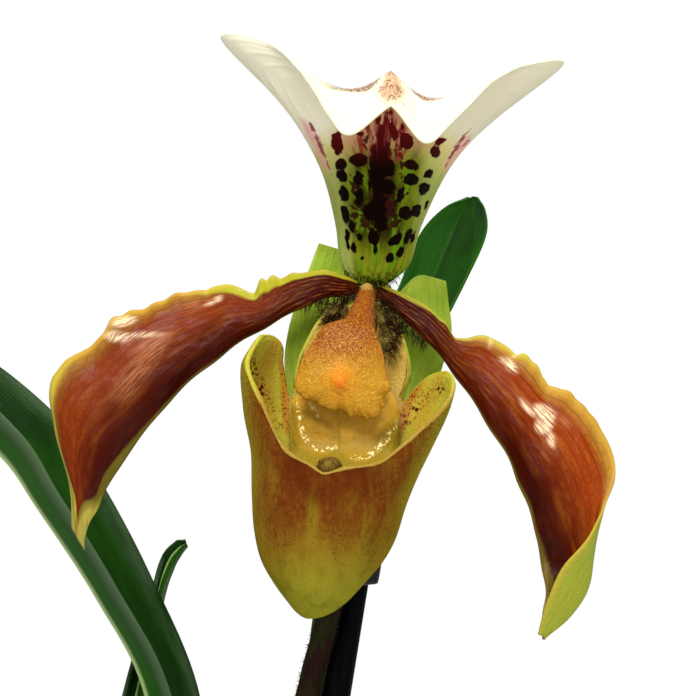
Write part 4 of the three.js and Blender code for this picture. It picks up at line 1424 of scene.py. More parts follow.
    def build(self) -> list[Piece]:
        """The sepal and the hairs of its foot and crest.

        Returns:
            The blade and the hairs.
        """
        obj, u, v = grid("dorsal_sepal_blade", 150, 132)
        p = self.surface(u, v)
        across, down = in_portrait(p)
        spot = inside_marks(self.spots, across, down)
        spot[u > 0.74] = -9.0
        beside = np.abs(across - through(self.midrib, down))
        outward = np.abs(across - self.top_at)
        set_points(obj, place(p, FLOWER))
        record(obj, "spot", spot)
        record(obj, "stain", inside_marks(self.stains, across, down))
        record(obj, "wedge", (through(self.wedge_half, down) - beside) * ELEMENT)
        record(obj, "wedge_strength", ease(down, *self.wedge_down))
        record(obj, "veil", ease(through(self.veil_half, down) - beside, -2, 5) * ease(down, *self.veil_down))
        record(obj, "height", p[:, 2])
        raised = down - 0.5 * (outward - 45)
        record(obj, "fade", ease(raised, *self.fade_down) * ease(outward, *self.fade_out))
        record(obj, "blush", ease(down, *self.blush_down) * ease(outward, *self.blush_out))
        record(obj, "dash", inside_marks(self.dashes, across, down))
        record(obj, "flush", inside_marks(self.flushes, across, down))
        # partly the paler band below the wings, partly painted light on the turned-away sides
        lowered = down - 0.45 * (outward - 45)
        record(obj, "paling", ease(lowered, *self.paling_down) * ease(outward, *self.paling_out))
        flank = np.abs(across - self.blade_at) / through(self.flank_half, down)
        record(obj, "side", ease(flank + 0.1 * (across > self.blade_at), 0.7, 1.0))
        # painted shade: how far the darker cream of the right wing reaches
        record(obj, "right_wing_shade", ease(across, self.blade_at, self.right_from))
        shade = ease(np.abs(across - self.shade_at), *self.shade_out) * ease(down, *self.shade_top)
        record(obj, "shade", shade * ease(down, *self.shade_low))
        peak = through(self.peak_half, down) - np.abs(across - self.peak_at)
        record(obj, "peak", ease(peak, -4, 4) * ease(down, *self.peak_down))
        freckled = ease(np.abs(across - self.freckles_at), *self.freckles_out)
        record(obj, "freckled", freckled * ease(down, *self.freckles_down))
        crest = down - through(self.crest_line, across)
        record(obj, "crest", ease(crest, 3.2, 1) * ease(outward, *self.crest_out))
        taper = 1 - 0.5 * ease(np.maximum(np.abs(v), 2 * u - 1), 0.85, 1.0)
        thicken(obj, self.thick, taper, back=1)
        smooth(obj)
        finish = DorsalFinish()
        blade = dress(obj, [finish.outside(), finish.inside()], ["dorsal_sepal"])
        return [blade, self.fringe()]

    def fringe(self) -> Piece:
        """Dark hairs along the foot of the sepal, and tan ones on the fold of its top.

        Returns:
            The tan hairs.
        """
        rng = np.random.default_rng(3)
        count = 160
        u = 0.005 + 0.13 * rng.random(count) ** 1.3
        v = rng.uniform(-1.0, 1.0, count)
        roots = self.surface(u, v)
        ways = np.stack([0.5 * v, np.full(count, -0.6), rng.uniform(-0.9, 0.6, count)], axis=1)
        ways += rng.normal(0, 0.25, ways.shape)
        hairs("dorsal_sepal_hairs", roots + FLOWER + [0, -0.2, 0], ways, rng.uniform(0.6, 1.5, count), 0.1,
              HairFinish("dark_hair", srgb(40, 18, 12)))
        count = 1500
        v = rng.uniform(-0.62, 0.62, count)
        u = 0.735 + 0.03 * rng.standard_normal(count)
        roots = self.surface(u, v)
        ways = np.stack([0.3 * v, np.full(count, -0.3), np.full(count, 1.0)], axis=1)
        ways += rng.normal(0, 0.35, ways.shape)
        length = rng.uniform(0.2, 0.5, count) * (1 + 0.6 * np.exp(-((v / 0.15) ** 2)))
        finish = HairFinish("crest_hair", srgb(134, 92, 66))
        return hairs("dorsal_crest_hairs", roots + FLOWER, ways, length, 0.09, finish, 0.1)


@dataclass
class Petal:
    """One of the two petals, drooping and waved along its rim."""

    side: str
    stations: tuple
    bumps: tuple
    painted_glosses: tuple
    painted_sheens: tuple
    orange_at: float
    lime_end: float
    rim_from: float
    rim_band: float
    low_band: float = 0.0
    slim: float = 0.0
    finish: PetalFinish = PetalFinish()
    wave: float = 0.5
    thick: float = 0.5

    def surface(self, u: Row, v: Row) -> Points:
        """Points of the petal, with the waves of its margins.

        Args:
            u: places along it, from 0 to 1.
            v: places across it, from -1 to 1.

        Returns:
            The points in millimetres.
        """
        base = stationed(self.stations)
        v = 1 - (1 - v) * (1 - self.slim * ease(u, 0.82, 0.94) * ease(u, 1.0, 0.97))
        p = base(u, v)
        n = normals_of(base, u, v)
        reach = ease(np.abs(v), 0.25, 1.0) * ease(u, 0.08, 0.3) * ease(u, 1.0, 0.86)
        phase = np.where(v > 0, 0.0, 2.3)
        ripple = np.sin(46 * u + phase) * 0.6 + np.sin(27 * u + 1.7 * phase + 1.0) * 0.4
        p = p + n * (self.wave * reach * ripple * np.where(v > 0, 0.3, 1.0))[:, None]
        upper = ease(v, 0.35, 1.0) * ease(u, 0.06, 0.18) * ease(u, 0.92, 0.8)
        outward = (base(u, np.ones_like(u)) - base(u, np.full_like(u, 0.6))) * [1, 0, 1]
        outward = unit(outward)
        scallop = 0.04 * (np.sin(52 * u + 0.6) + 0.5 * np.sin(83 * u))
        for at, height, width in self.bumps:
            scallop = scallop + height * np.exp(-(((u - at) / width) ** 2))
        return p + outward * (scallop * upper)[:, None]

    def build(self) -> Piece:
        """The petal's blade.

        Returns:
            The blade.
        """
        obj, u, v = grid(f"petal_{self.side}_blade", 190, 56)
        p = self.surface(u, v)
        set_points(obj, place(p, FLOWER))
        across, down = in_portrait(p)
        # where highlights and a soft sheen are painted on the petal, from marks in the portrait
        record(obj, "gloss", ease(inside_marks(self.painted_glosses, across, down), -0.3, 0.4))
        record(obj, "painted_sheen", ease(inside_marks(self.painted_sheens, across, down), -0.7, 1.1))
        thicken(obj, self.thick, thinned(v, 0.45), back=1)
        smooth(obj)
        face = self.finish.face(f"petal_{self.side}_face", self.orange_at, self.lime_end, self.rim_from,
                                self.rim_band, self.low_band)
        back = self.finish.back(f"petal_{self.side}_back")
        order = [back, face] if self.side == "left" else [face, back]
        return dress(obj, order, [f"petal_{self.side}"])


@dataclass
class PetalBaseHairs:
    """The dark fur on the feet of the petals and on the cushions beside the column."""

    rows: tuple = (
        # from and to in millimetres in the flower's frame, count, length, spread, way
        ((-9.4, -2.4, -2.6), (-2.2, -1.4, -1.4), 120, 1.8, 0.22, (-0.35, -0.5, -1.0)),
        ((-6.0, -2.6, -5.4), (-2.8, -3.0, -2.0), 170, 1.3, 0.55, (-0.7, -0.8, -0.2)),
        ((1.6, -3.0, -2.2), (4.2, -3.4, -5.8), 150, 1.4, 0.45, (0.6, -0.8, -0.5)),
        ((4.2, -3.4, -5.8), (2.6, -5.4, -9.6), 150, 1.3, 0.45, (0.5, -0.9, -0.3)),
        ((3.6, -1.6, -4.0), (8.2, -3.2, -8.2), 110, 1.6, 0.22, (-0.35, -0.5, -1.0)),
        ((-1.6, -0.6, 0.6), (2.6, -0.6, 0.2), 90, 1.2, 0.3, (0.1, -0.9, 0.3)),
    )
    pads: tuple = (
        ((-4.5, -1.7, -4.2), (1.9, 0.8, 1.7), 35),
        ((2.1, -1.8, -4.6), (1.4, 0.9, 2.6), 34),
        ((3.1, -2.8, -7.6), (1.2, 0.8, 2.7), -18),
    )

    def build(self) -> Piece:
        """The fur of the feet, the fur of the cushions, and the cushions.

        Returns:
            The cushions.
        """
        rng = np.random.default_rng(5)
        roots, ways, lengths = [], [], []
        for start, end, count, length, spread, way in self.rows:
            t = rng.random(count)[:, None]
            at = np.array(start) * (1 - t) + np.array(end) * t
            roots.append(at + rng.normal(0, spread, at.shape) * [1, 0.4, 1])
            ways.append(np.array(way) + rng.normal(0, 0.35, at.shape))
            lengths.append(length * rng.uniform(0.5, 1.1, count))
        hairs("petal_base_hairs", np.vstack(roots) + FLOWER, np.vstack(ways), np.concatenate(lengths), 0.1,
              HairFinish("base_hair", srgb(40, 18, 10)))
        for middle, half, _ in self.pads:
            out = unit(rng.normal(0, 1, (160, 3)))
            out[:, 1] = -np.abs(out[:, 1])
            roots.append(np.array(middle) + out * np.array(half) * 0.92)
            ways.append(0.7 * out + [0.5 * np.sign(middle[0]), -0.35, -0.3] + rng.normal(0, 0.3, out.shape))
            lengths.append(rng.uniform(1.0, 2.3, len(out)))
        hairs("petal_base_fur", np.vstack(roots[-3:]) + FLOWER, np.vstack(ways[-3:]),
              np.concatenate(lengths[-3:]), 0.09, HairFinish("base_fur", srgb(40, 22, 10)))
        pads = [self.pad(*pad) for pad in self.pads]
        cushions = joined(pads)
        cushions.name = cushions.data.name = "petal_base_cushions"
        smooth(cushions)
        return dress(cushions, [self.pad_finish()])

    def pad(self, middle: Sequence[float], half: Sequence[float], tilt: float) -> Piece:
        """One haired cushion beside the column.

        Args:
            middle: its middle in millimetres in the flower's frame.
            half: its half sizes.
            tilt: its turn in the plane of the portrait, in degrees.

        Returns:
            The cushion.
        """
        obj, p = ball("petal_base_cushion", 40, 28)
        p = p * (1 + 0.16 * ripples(p * 3, 1.6, middle[0]))[:, None] * np.array(half)
        swivel(p, (0, 2), np.radians(tilt))
        set_points(obj, place(p + np.array(middle), FLOWER))
        return obj

    def pad_finish(self) -> Material:
        """The cushions' green-brown skin.

        Returns:
            The material.
        """
        f = Finish("cushion_skin", 0.7)
        cloud = f.cloud(f.solid(), 900, 3)
        f.ground = f.mix(f.step(cloud, 0.35, 0.62), srgb(122, 104, 44), srgb(162, 142, 70))
        return f.done(f.ground, f.relief(cloud, 0.4))


def notched_sag(u: Row, v: Row) -> Row:
    """The share of the synsepal's bow: a notch between its shoulders at the top."""
    opened = ease(u, 0.1, 0.5)
    return np.exp(-((v / 0.44) ** 4)) * (1 - opened) + round_sag(u, v) * opened


@dataclass
class Synsepal:
    """The two lower sepals grown into one behind the lip."""

    stations: tuple = (
        [-6.9, 4.6, 6.0, 11.0, 4.8, 0.6, -2.4, -4.5, -6.8],
        [-8.6, 4.6, 1.4, 11.4, 4.8, -2.4, -1.6, -4.3, -4.2],
        [-11.2, 4.8, -6.0, 11.6, 4.9, -7.4, 0, -2.4, 0], [-11.5, 5.6, -13.0, 9.9, 5.6, -13.4, 0, -1.4, 0],
        [-9.8, 6.6, -20.0, 6.6, 6.6, -20.0, 0, -1.0, 0], [-7.8, 7.4, -26.6, 2.6, 7.4, -26.6, 0, -0.8, 0],
        [-4.6, 8.0, -33.0, -2.0, 8.0, -33.0, 0, -0.2, 0],
    )
    thick: float = 0.6

    def build(self) -> Piece:
        """The sepal's blade, with a soft wave along its margins.

        Returns:
            The blade.
        """
        surface = stationed(self.stations, notched_sag)
        obj, u, v = grid("synsepal_blade", 110, 80)
        p = surface(u, v)
        edge = ease(np.abs(v), 0.5, 1.0) * ease(u, 1.0, 0.8)
        p = p + normals_of(surface, u, v) * (0.4 * edge * np.sin(21 * u + 2 * v))[:, None]
        set_points(obj, place(p, FLOWER))
        thicken(obj, self.thick, thinned(v, 0.4))
        smooth(obj)
        return dress(obj, [SynsepalFinish().make()], ["synsepal"])


@dataclass
class Lip:
    """The slipper-shaped pouch: sections by height, and its rim's height by the angle."""

    sections: tuple = (
        [-45.3, -8.1, 0.0, -16.4, 0.0], [-43.5, -7.0, 3.4, -16.4, 3.2], [-40.5, -6.7, 6.05, -16.2, 5.4],
        [-37.4, -6.3, 8.1, -15.9, 6.7], [-33.4, -5.7, 9.5, -15.4, 7.7], [-28.5, -5.1, 10.5, -14.8, 8.6],
        [-22.6, -3.8, 12.0, -14.0, 9.4], [-16.6, -2.9, 13.9, -13.4, 9.8], [-11.3, -2.6, 14.4, -12.8, 9.9],
        [-8.3, -2.3, 13.2, -12.3, 9.8], [-3.2, -1.6, 11.6, -11.0, 9.9],
    )
    top: float = -11.3
    rim: tuple = (
        [-180, -2.8], [-168, -3.0], [-158, -4.1], [-151, -8.3], [-148, -14.8], [-144, -15.6], [-140, -11.6],
        [-134, -8.8], [-124, -7.6], [-110, -7.2], [-98, -7.6], [-86, -9.4], [-73, -11.8], [-58, -15.6],
        [-43, -21.4], [-31, -23.4], [-17, -24.7], [-8, -25.7], [6, -24.9], [14, -24.8], [29, -24.2],
        [38, -22.8], [49, -20.6], [60, -18.7], [72, -16.8], [84, -15.2], [98, -13.2], [112, -12.3],
        [128, -12.8], [139, -14.6], [146, -16.6], [150, -13.4], [153, -8.4], [159, -5.4], [169, -3.8],
        [180, -3.2],
    )
    bulges: tuple = ([-160, 0.3], [158, 0.3])
    thick: float = 0.75
    dark_dots: tuple = (
        # lines in the portrait's elements, across and down, with the half width of the dotted band
        ([(247, 352), (250, 368), (258, 386), (268, 408), (280, 428)], 7),
        ([(442, 388), (430, 397), (419, 408), (408, 420)], 8),
    )
    red_dots: tuple = (
        ([(281, 360), (284, 385), (284, 410), (288, 432)], 5),
        ([(420, 384), (410, 402), (402, 425), (394, 444)], 6),
    )
    # lines in the portrait along which glints are painted on the lobes, with the half width of each band
    glints: tuple = (
        ([(299, 404), (301, 420), (304, 436), (310, 447), (320, 452), (335, 448)], 2.4),
        ([(353, 459), (366, 460), (378, 450), (389, 434), (396, 422)], 3.2),
        ([(308, 400), (318, 416)], 2.0),
    )
    # across the portrait and down it
    front_edge: tuple = (
        (290, 430), (302, 446), (313, 455), (328, 455), (337, 448), (342, 452), (352, 462), (366, 462),
        (380, 451), (394, 432), (404, 414))
    # the lower edge of the staminode's shadow on the lobes, above which painted light is laid
    shadow_edge: tuple = ((296, 406), (312, 412), (328, 423), (342, 433), (374, 435), (392, 420))

    def near_line(self, lines: list, across: Row, down: Row) -> Row:
        """How near each place lies to the nearest of some lines.

        Args:
            lines: each line's points across and down the portrait, and the half width of its band.
            across: places across the portrait, in its elements.
            down: places down it.

        Returns:
            1 on a line, falling to 0 at the side of its band.
        """
        best = np.zeros(len(across))
        for points, half in lines:
            for (x0, y0), (x1, y1) in zip(points, points[1:]):
                dx, dy = x1 - x0, y1 - y0
                share = np.clip(((across - x0) * dx + (down - y0) * dy) / (dx * dx + dy * dy), 0, 1)
                away = np.hypot(across - x0 - share * dx, down - y0 - share * dy)
                best = np.maximum(best, ease(away, 1.25 * half, 0.35 * half))
        return best

    def surface(self, angle: Row, t: Row) -> Points:
        """Points of the pouch at an angle from its front and a share of the way up to its rim.

        Args:
            angle: angles from the front in degrees, from -180 to 180.
            t: shares of the way up, from 0 to 1.

        Returns:
            The points in millimetres.
        """
        bottom = self.sections[0][0]
        z = bottom + (through(self.rim, angle) - bottom) * (1 - np.cos(t * np.pi / 2))
        share = np.sqrt(np.maximum((z - bottom) / (self.top - bottom), 0))
        keys = [float(np.sqrt((row[0] - bottom) / (self.top - bottom))) for row in self.sections]
        cx, rx, cy, ry = (through([(k, row[n]) for k, row in zip(keys, self.sections)],
                                  share) for n in range(1, 5))
        dent = np.zeros_like(z)
        for middle, depth in self.bulges:
            dent += depth * np.exp(-(((angle - middle) / 17) ** 2) - ((z + 21) / 3.6) ** 2)
        a = np.radians(angle)
        flare = 1.5 * ease(angle, 147, 151) * ease(angle, 174, 158) * ease(z, -17.5, -11.5)
        x = cx + rx * (1 - 0.4 * dent) * np.sin(a) + flare
        return np.stack([x, cy - ry * (1 - dent) * np.cos(a), z], axis=1)

    def nod(self, angle: Row, share: Row) -> Points:
        """How far the front of the rim leans back into the pouch, at an angle and a share of it."""
        return (share * ease(np.abs(angle), 75, 40))[:, None] * [0, 0.7, -0.15]

    def build(self) -> list[Piece]:
        """The pouch, its rim, and the lobes, the cushion and the hairs in its mouth.

        Returns:
            Every piece of the lip.
        """
        obj, u, v = grid("lip_pouch", 232, 92)
        angle, t = 360 * u - 180, (v + 1) / 2
        p = self.surface(angle, t)
        p += self.nod(angle, ease(t, 0.9, 1.0))
        swell = ripples(p, 5.0) * 0.16 * ease(t, 0.05, 0.2) * (1 - ease(np.abs(angle), 165, 178))
        p += normals_of(lambda a, b: self.surface(360 * a - 180, (b + 1) / 2), u, v) * swell[:, None]
        set_points(obj, place(p, FLOWER))
        record(obj, "height", p[:, 2])
        record(obj, "rim_height", through(self.rim, angle))
        across, down = in_portrait(p)
        record(obj, "dotted", self.near_line(self.dark_dots, across, down))
        record(obj, "red_dotted", self.near_line(self.red_dots, across, down))
        close_seams(obj)
        thicken(obj, self.thick, back=1)
        smooth(obj)
        finish = LipFinish()
        pouch = dress(obj, [finish.outside(), finish.inside()], ["lip"])
        lobe = finish.lobe()
        left = self.lobe("lip_lobe_left", (-7.2, -10.6, -14.6), (-7.1, -18.4, -25.0), (3.6, 3.4), -1, lobe)
        right = self.lobe("lip_lobe_right", (-0.2, -11.0, -14.0), (-0.2, -18.9, -25.2), (4.3, 4.2), 1, lobe)
        return [pouch, self.bead(finish), left, right, self.cushion(), self.patch()]

    def bead(self, finish: LipFinish) -> Piece:
        """The rolled rim: a bead that follows the edge, thicker on the ears.

        Args:
            finish: the finishes of the lip.

        Returns:
            The bead.
        """
        steps, sides = 420, 16
        obj, u, v = grid("lip_rim_bead", steps, sides)
        angle = 360 * u - 180
        centre = self.surface(angle, np.ones_like(u)) + self.nod(angle, np.ones_like(u))
        ears = np.exp(-(((angle + 112) / 26) ** 2)) + np.exp(-(((angle - 112) / 28) ** 2))
        back = ease(np.abs(angle), 148, 158)
        radius = 0.36 - 0.05 * ears - 0.08 * back + 0.04 * np.sin(np.radians(angle) * 17)
        a = np.radians(angle)
        out = np.stack([np.sin(a), -np.cos(a), np.zeros_like(a)], axis=1)
        ring = around(out, np.array([0.0, 0.0, 1.0]), np.pi * v)
        set_points(obj, place(centre + ring * radius[:, None], FLOWER))
        record(obj, "height", centre[:, 2])
        close_seams(obj)
        face_out(obj)
        smooth(obj)
        return dress(obj, [finish.bead()])

    def cushion(self) -> Piece:
        """The small cushion behind the lowest point of the rim, where the lobes meet.

        Returns:
            The cushion.
        """
        obj, p = ball("lip_cushion", 40, 24)
        set_points(obj, place(p * np.array([1.8, 1.8, 1.5]) + np.array([-5.3, -20.0, -25.0]), FLOWER))
        smooth(obj)
        f = Finish("cushion_olive", 0.5)
        cloud = f.cloud(f.solid(), (2400, 2400, 500), 2)
        return dress(obj, [f.done(f.mix(f.step(cloud, 0.4, 0.6), srgb(84, 64, 20), srgb(110, 88, 28)))])

    def patch(self) -> Piece:
        """The striped patch of hairs behind the lowest point of the rim.

        Returns:
            The hairs.
        """
        rng = np.random.default_rng(31)
        count = 90
        x = -6.5 + 0.4 * rng.integers(0, 7, count) + rng.normal(0, 0.04, count)
        roots = np.stack([x, rng.uniform(-21.6, -20.6, count), rng.uniform(-25.6, -24.3, count)], axis=1)
        ways = np.stack([0.25 * (x + 4.9), np.full(count, -0.5), np.ones(count)], axis=1)
        ways += rng.normal(0, 0.12, ways.shape)
        return hairs("lip_patch_hairs", roots + FLOWER, ways, rng.uniform(0.5, 1.1, count), 0.075,
                     HairFinish("patch_hair", srgb(74, 44, 12)), 0.1)

    def lobe(self, name: str, top: Sequence[float], foot: Sequence[float], half: Sequence[float], outer: int,
             finish: Material) -> Piece:
        """One infolded lobe: a bowed wall that turns into a floor behind the front of the rim.

        Args:
            name: its name.
            top: the middle of its upper edge in millimetres in the flower's frame.
            foot: the middle of its lower edge.
            half: its half widths at the top and at the foot.
            outer: the side, -1 or 1, that curls back into the pouch.
            finish: its material.

        Returns:
            The lobe.
        """
        obj, u, v = grid(name, 72, 56)
        corner = ease(u, 0.55, 1.0)
        curl, inner = np.clip(outer * v, 0, 1), np.clip(-outer * v, 0, 1)
        x = top[0] + (foot[0] - top[0]) * u + (half[0] + (half[1] - half[0]) * u) * v
        y = top[1] + (foot[1] - top[1]) * u**6 + 1.7 * curl**4 * (1 - u**4) - 0.5 * u
        y += 0.45 * inner**8 - 0.9 * corner * (curl**3 + 0.5 * inner**3)
        z = top[2] + (foot[2] - top[2]) * (u - 0.16 * u**7) / 0.84
        z += 1.2 * corner * curl**3 - 3.4 * curl**4 * (1 - u)
        p = np.stack([x, y, z], axis=1)
        p[:, 1] += 0.12 * ripples(p, 1.5, top[0])
        set_points(obj, place(p, FLOWER))
        across, down = in_portrait(p)
        low = through(self.front_edge, across)
        record(obj, "pool", ease(down - low, 0, 4))
        record(obj, "shelf", 0.8 * ease(down - low, -30, -6))
        # where the staminode's shadow falls on the lobes, lifted with painted light
        dark = through(self.shadow_edge, across)
        record(obj, "shaded", ease(down - dark, 6, -7))
        record(obj, "margin", ease(inner, 0.9, 1.0) if outer > 0 else 0.6 * ease(curl, 0.8, 0.95))
        # where glints are painted on the lobe
        record(obj, "painted_glint", self.near_line(self.glints, across, down))
        thicken(obj, 0.7, thinned(v, 0.5))
        smooth(obj)
        return dress(obj, [finish])


@dataclass
class Column:
    """The column: its warty shield, the staminode, on a short neck, with red-brown fur."""

    middle: tuple = (-3.9, -13.2)
    outline: tuple = (
        [-8.5, -9.2], [-9.3, -11.0], [-9.9, -12.9], [-10.0, -14.2], [-9.2, -15.6], [-7.6, -16.1],
        [-6.5, -16.7], [-5.1, -17.5], [-3.9, -17.2], [-2.5, -18.2], [-1.2, -18.2], [0.2, -18.6],
        [1.3, -18.1], [2.1, -16.8], [2.2, -15.7], [3.1, -14.2], [2.6, -13.1], [2.3, -11.6], [2.0, -9.6],
        [1.2, -7.5], [0.4, -5.8], [-2.5, -4.9], [-4.5, -5.1], [-6.2, -5.8], [-7.4, -7.5],
    )
    front: float = -14.2
    dome: float = 1.3
    lean: float = 0.16
    thick: float = 1.2
    umbo_radius: float = 1.3
    umbo_height: float = 1.0
    neck: tuple = (
        [0.1, 0.4, -0.3], [-0.1, -1.6, -0.6], [-0.4, -4.5, -2.2], [-1.4, -9.0, -6.0], [-2.2, -12.0, -9.4])
    neck_radii: tuple = (0.55, 1.1, 1.65, 2.4, 2.5)

    def rim_at(self, turn: Row) -> Points:
        """The outline's points at shares of one turn round it.

        Args:
            turn: the shares.

        Returns:
            One row of x and z for each.
        """
        table = np.array(self.outline, float)
        count = len(table)
        i = np.floor(turn * count).astype(int)
        f = (turn * count - i)[:, None]
        return between(*(table[(i + k) % count] for k in (-1, 0, 1, 2)), f)

    def build(self) -> list[Piece]:
        """The shield, the neck and their fur."""
        return [self.shield(), self.stalk(), self.fur()]

    def front_points(self, turn: Row, reach: Row) -> Points:
        """Points on the shield's front at a share of a turn and of the way out to its rim.

        Args:
            turn: shares of one turn round the outline.
            reach: 0 in the middle, 1 on the rim.

        Returns:
            The points in millimetres.
        """
        middle = np.array(self.middle)
        ragged = 0.02 * np.sin(2 * np.pi * 17 * turn + 1) + 0.014 * np.sin(2 * np.pi * 31 * turn)
        ragged = ragged * ease(np.sin(2 * np.pi * (turn - 0.1)), -0.1, 0.3)
        out = reach * (1 + ragged * ease(reach, 0.6, 1.0))
        flat = middle + (self.rim_at(turn) - middle) * out[:, None]
        far = np.hypot(*(flat - middle).T)
        crown = -self.dome * (1 - reach**2) - self.umbo_height * np.exp(-((far / self.umbo_radius) ** 2))
        crown += 0.12 * np.exp(-(((far - 2.6) / 1.1) ** 2))
        y = self.front + crown + self.lean * (flat[:, 1] - middle[1])
        return np.stack([flat[:, 0], y, flat[:, 1]], axis=1)

    def shield(self) -> Piece:
        """The staminode: a sphere pressed into the outline and roughened with grains.

        Returns:
            The staminode.
        """
        obj, whole = ball("staminode", 132, 92)
        turn = (np.arctan2(whole[:, 1], whole[:, 0]) / (2 * np.pi)) % 1.0
        reach = np.clip(np.hypot(whole[:, 0], whole[:, 1]), 0, 1)
        p = self.front_points(turn, reach)
        back = 0.5 * (1 - np.sign(whole[:, 2]) * (1 - (1 - np.abs(whole[:, 2])) ** 3))
        bowl = self.dome * 0.7 * (1 - reach**2)
        p[:, 1] += back * (self.thick + bowl)
        grains = ripples(p, 0.5) * 0.5 + ripples(p, 1.9, 7.0) * 0.5
        p += np.stack([0.05 * grains, -0.16 * grains, 0.08 * grains], axis=1)
        middle = np.array(self.middle)
        far = np.hypot(p[:, 0] - middle[0], 0.78 * (p[:, 2] - middle[1]))
        set_points(obj, place(p, FLOWER))
        record(obj, "umbo", far)
        # where the staminode's lower rim is painted lighter
        record(obj, "painted_light_brim", ease(reach, 0.93, 1.0) * ease(p[:, 2], -6.5, -9.5))
        record(obj, "neck", 0.6 * ease(p[:, 2] + 0.12 * ripples(p, 2.0), -14.0, -4.6))
        face_out(obj)
        smooth(obj)
        return dress(obj, [ShieldFinish().make()], ["column"])

    def stalk(self) -> Piece:
        """The neck that carries the shield.

        Returns:
            The neck.
        """
        path = np.array(self.neck) + FLOWER
        obj = rod("column_neck", path, self.neck_radii, 28, 30)
        p = points_of(obj) / MM
        rough = np.stack([ripples(p, 0.9), ripples(p, 0.9, 3.0), ripples(p, 0.9, 5.0)], axis=1)
        set_points(obj, (p + 0.18 * rough) * MM)
        high = p[:, 2] - FLOWER[2]
        record(obj, "umbo", np.full(len(p), 9.0))
        record(obj, "neck", 0.6 + 0.4 * ease(high, -9.0, -5.0) - 0.8 * ease(high, -1.6, -0.3))
        smooth(obj)
        return dress(obj, [ShieldFinish().make()])

    def fur(self) -> Piece:
        """Short hairs on the neck, the shield's upper part and its rim.

        Returns:
            The hairs.
        """
        rng = np.random.default_rng(9)
        count = 2200
        turn, reach = rng.random(count), np.sqrt(rng.random(count))
        front = self.front_points(turn, reach)
        keep = front[:, 2] > -7.5 - 5 * rng.random(count) ** 2
        front = front[keep]
        ways = np.stack([0.35 * (front[:, 0] - self.middle[0]) / 5, np.full(len(front), -0.8),
                         0.5 * (front[:, 2] - self.middle[1]) / 6], axis=1)
        centres, first, second = frames_along(np.array(self.neck, float), 60)
        count = 800
        row = rng.integers(12, 58, count)
        out = around(first[row], second[row], rng.uniform(0, 2 * np.pi, count))
        radius = along(np.array(self.neck_radii, float)[:, None], row / 60)
        roots = np.vstack([front, centres[row] + out * radius * 0.96])
        ways = np.vstack([ways, out + [0, -0.2, 0.1]])
        ways += rng.normal(0, 0.3, ways.shape)
        return hairs("staminode_hairs", roots + FLOWER, ways, rng.uniform(0.2, 0.42, len(roots)), 0.065,
                     HairFinish("staminode_hair", srgb(170, 96, 34)))


@dataclass
class Receptacle:
    """The short boss where the sepals, the petals and the column meet, on the ovary."""

    middle: tuple = (0.3, 1.5, -0.6)
    half: tuple = (2.9, 1.5, 1.7)

    def build(self) -> Piece:
        """The boss.

        Returns:
            The boss.
        """
        obj, p = ball("receptacle", 48, 32)
        p = p * (1 + 0.12 * ripples(p * 3, 1.4))[:, None] * np.array(self.half)
        set_points(obj, place(p + np.array(self.middle), FLOWER))
        smooth(obj)
        f = Finish("receptacle_skin", 0.5)
        cloud = f.cloud(f.solid(), 800, 3)
        f.ground = f.mix(f.step(cloud, 0.35, 0.6), srgb(96, 60, 24), srgb(158, 156, 62))
        return dress(obj, [f.done(f.ground, f.relief(cloud, 0.3))])


def petal_left() -> Petal:
    """The left petal, with its stations, its rim's bumps and the marks in the portrait where its highlights
    and sheen are painted.

    Returns:
        The petal, not built yet.
    """
    return Petal(
        side="left",
        stations=(
            [-1.3, 0.0, -1.2, -1.3, 0.0, 0.5, -0.2, 0, 0], [-3.4, -1.0, -1.6, -3.6, -0.7, 1.3, 0, -0.4, 0],
            [-6.6, -1.8, -2.0, -6.6, -0.7, 2.0, 0, -1.0, 0],
            [-10.8, -3.0, -4.0, -11.4, -0.4, 1.0, 0, -1.2, 0],
            [-15.0, -4.0, -6.4, -15.6, -1.8, -1.3, 0, -1.2, 0],
            [-19.2, -5.0, -9.0, -20.0, -2.0, 0.0, 0, -1.2, 0],
            [-23.0, -6.0, -12.0, -25.2, -3.4, -1.2, 0, -1.4, 0],
            [-27.2, -7.2, -16.0, -31.4, -4.0, -3.2, 0, -1.6, 0],
            [-31.2, -8.3, -20.8, -37.6, -5.0, -7.6, 0, -1.6, 0],
            [-34.8, -9.0, -26.0, -43.2, -6.2, -13.2, 0, -1.6, 0],
            [-37.0, -9.5, -30.6, -43.3, -7.2, -20.0, 0, -1.4, 0],
            [-38.0, -10.0, -34.0, -41.2, -8.4, -27.4, 0, -1.0, 0],
            [-39.1, -10.2, -36.6, -40.8, -9.2, -33.4, 0, -0.4, 0],
        ),
        bumps=(
            (0.235, 0.3, 0.012), (0.288, 1.5, 0.016), (0.316, 1.9, 0.013), (0.46, -0.3, 0.012),
            (0.52, 0.35, 0.012), (0.545, -0.2, 0.01), (0.58, -0.3, 0.012), (0.605, 0.45, 0.012),
            (0.633, 0.95, 0.013), (0.68, -0.2, 0.012), (0.72, 0.6, 0.02), (0.755, 0.6, 0.02),
            (0.785, 0.45, 0.02),
        ),
        painted_glosses=(
            (124, 322, 24, 10, -12), (118, 337, 26, 11, 6), (143, 335.5, 30, 5, -3), (218, 300, 9, 5, -30),
            (211, 304, 9, 3, -20),
        ),
        painted_sheens=(
            (143, 364, 84, 22, -49), (152, 345, 44, 16, -20), (192, 307, 34, 12, -12),
            (128, 392, 26, 12, -40),
        ),
        orange_at=0.6,
        lime_end=0.46,
        rim_from=0.955,
        rim_band=0.5,
        low_band=0.045,
        slim=0.16,
        # painted shade: the left petal takes darker browns than the right, a shaded copy of the same finish
        finish=PetalFinish(brown=srgb(76, 20, 2), orange=srgb(118, 42, 5), gold=srgb(136, 70, 14)),
    )


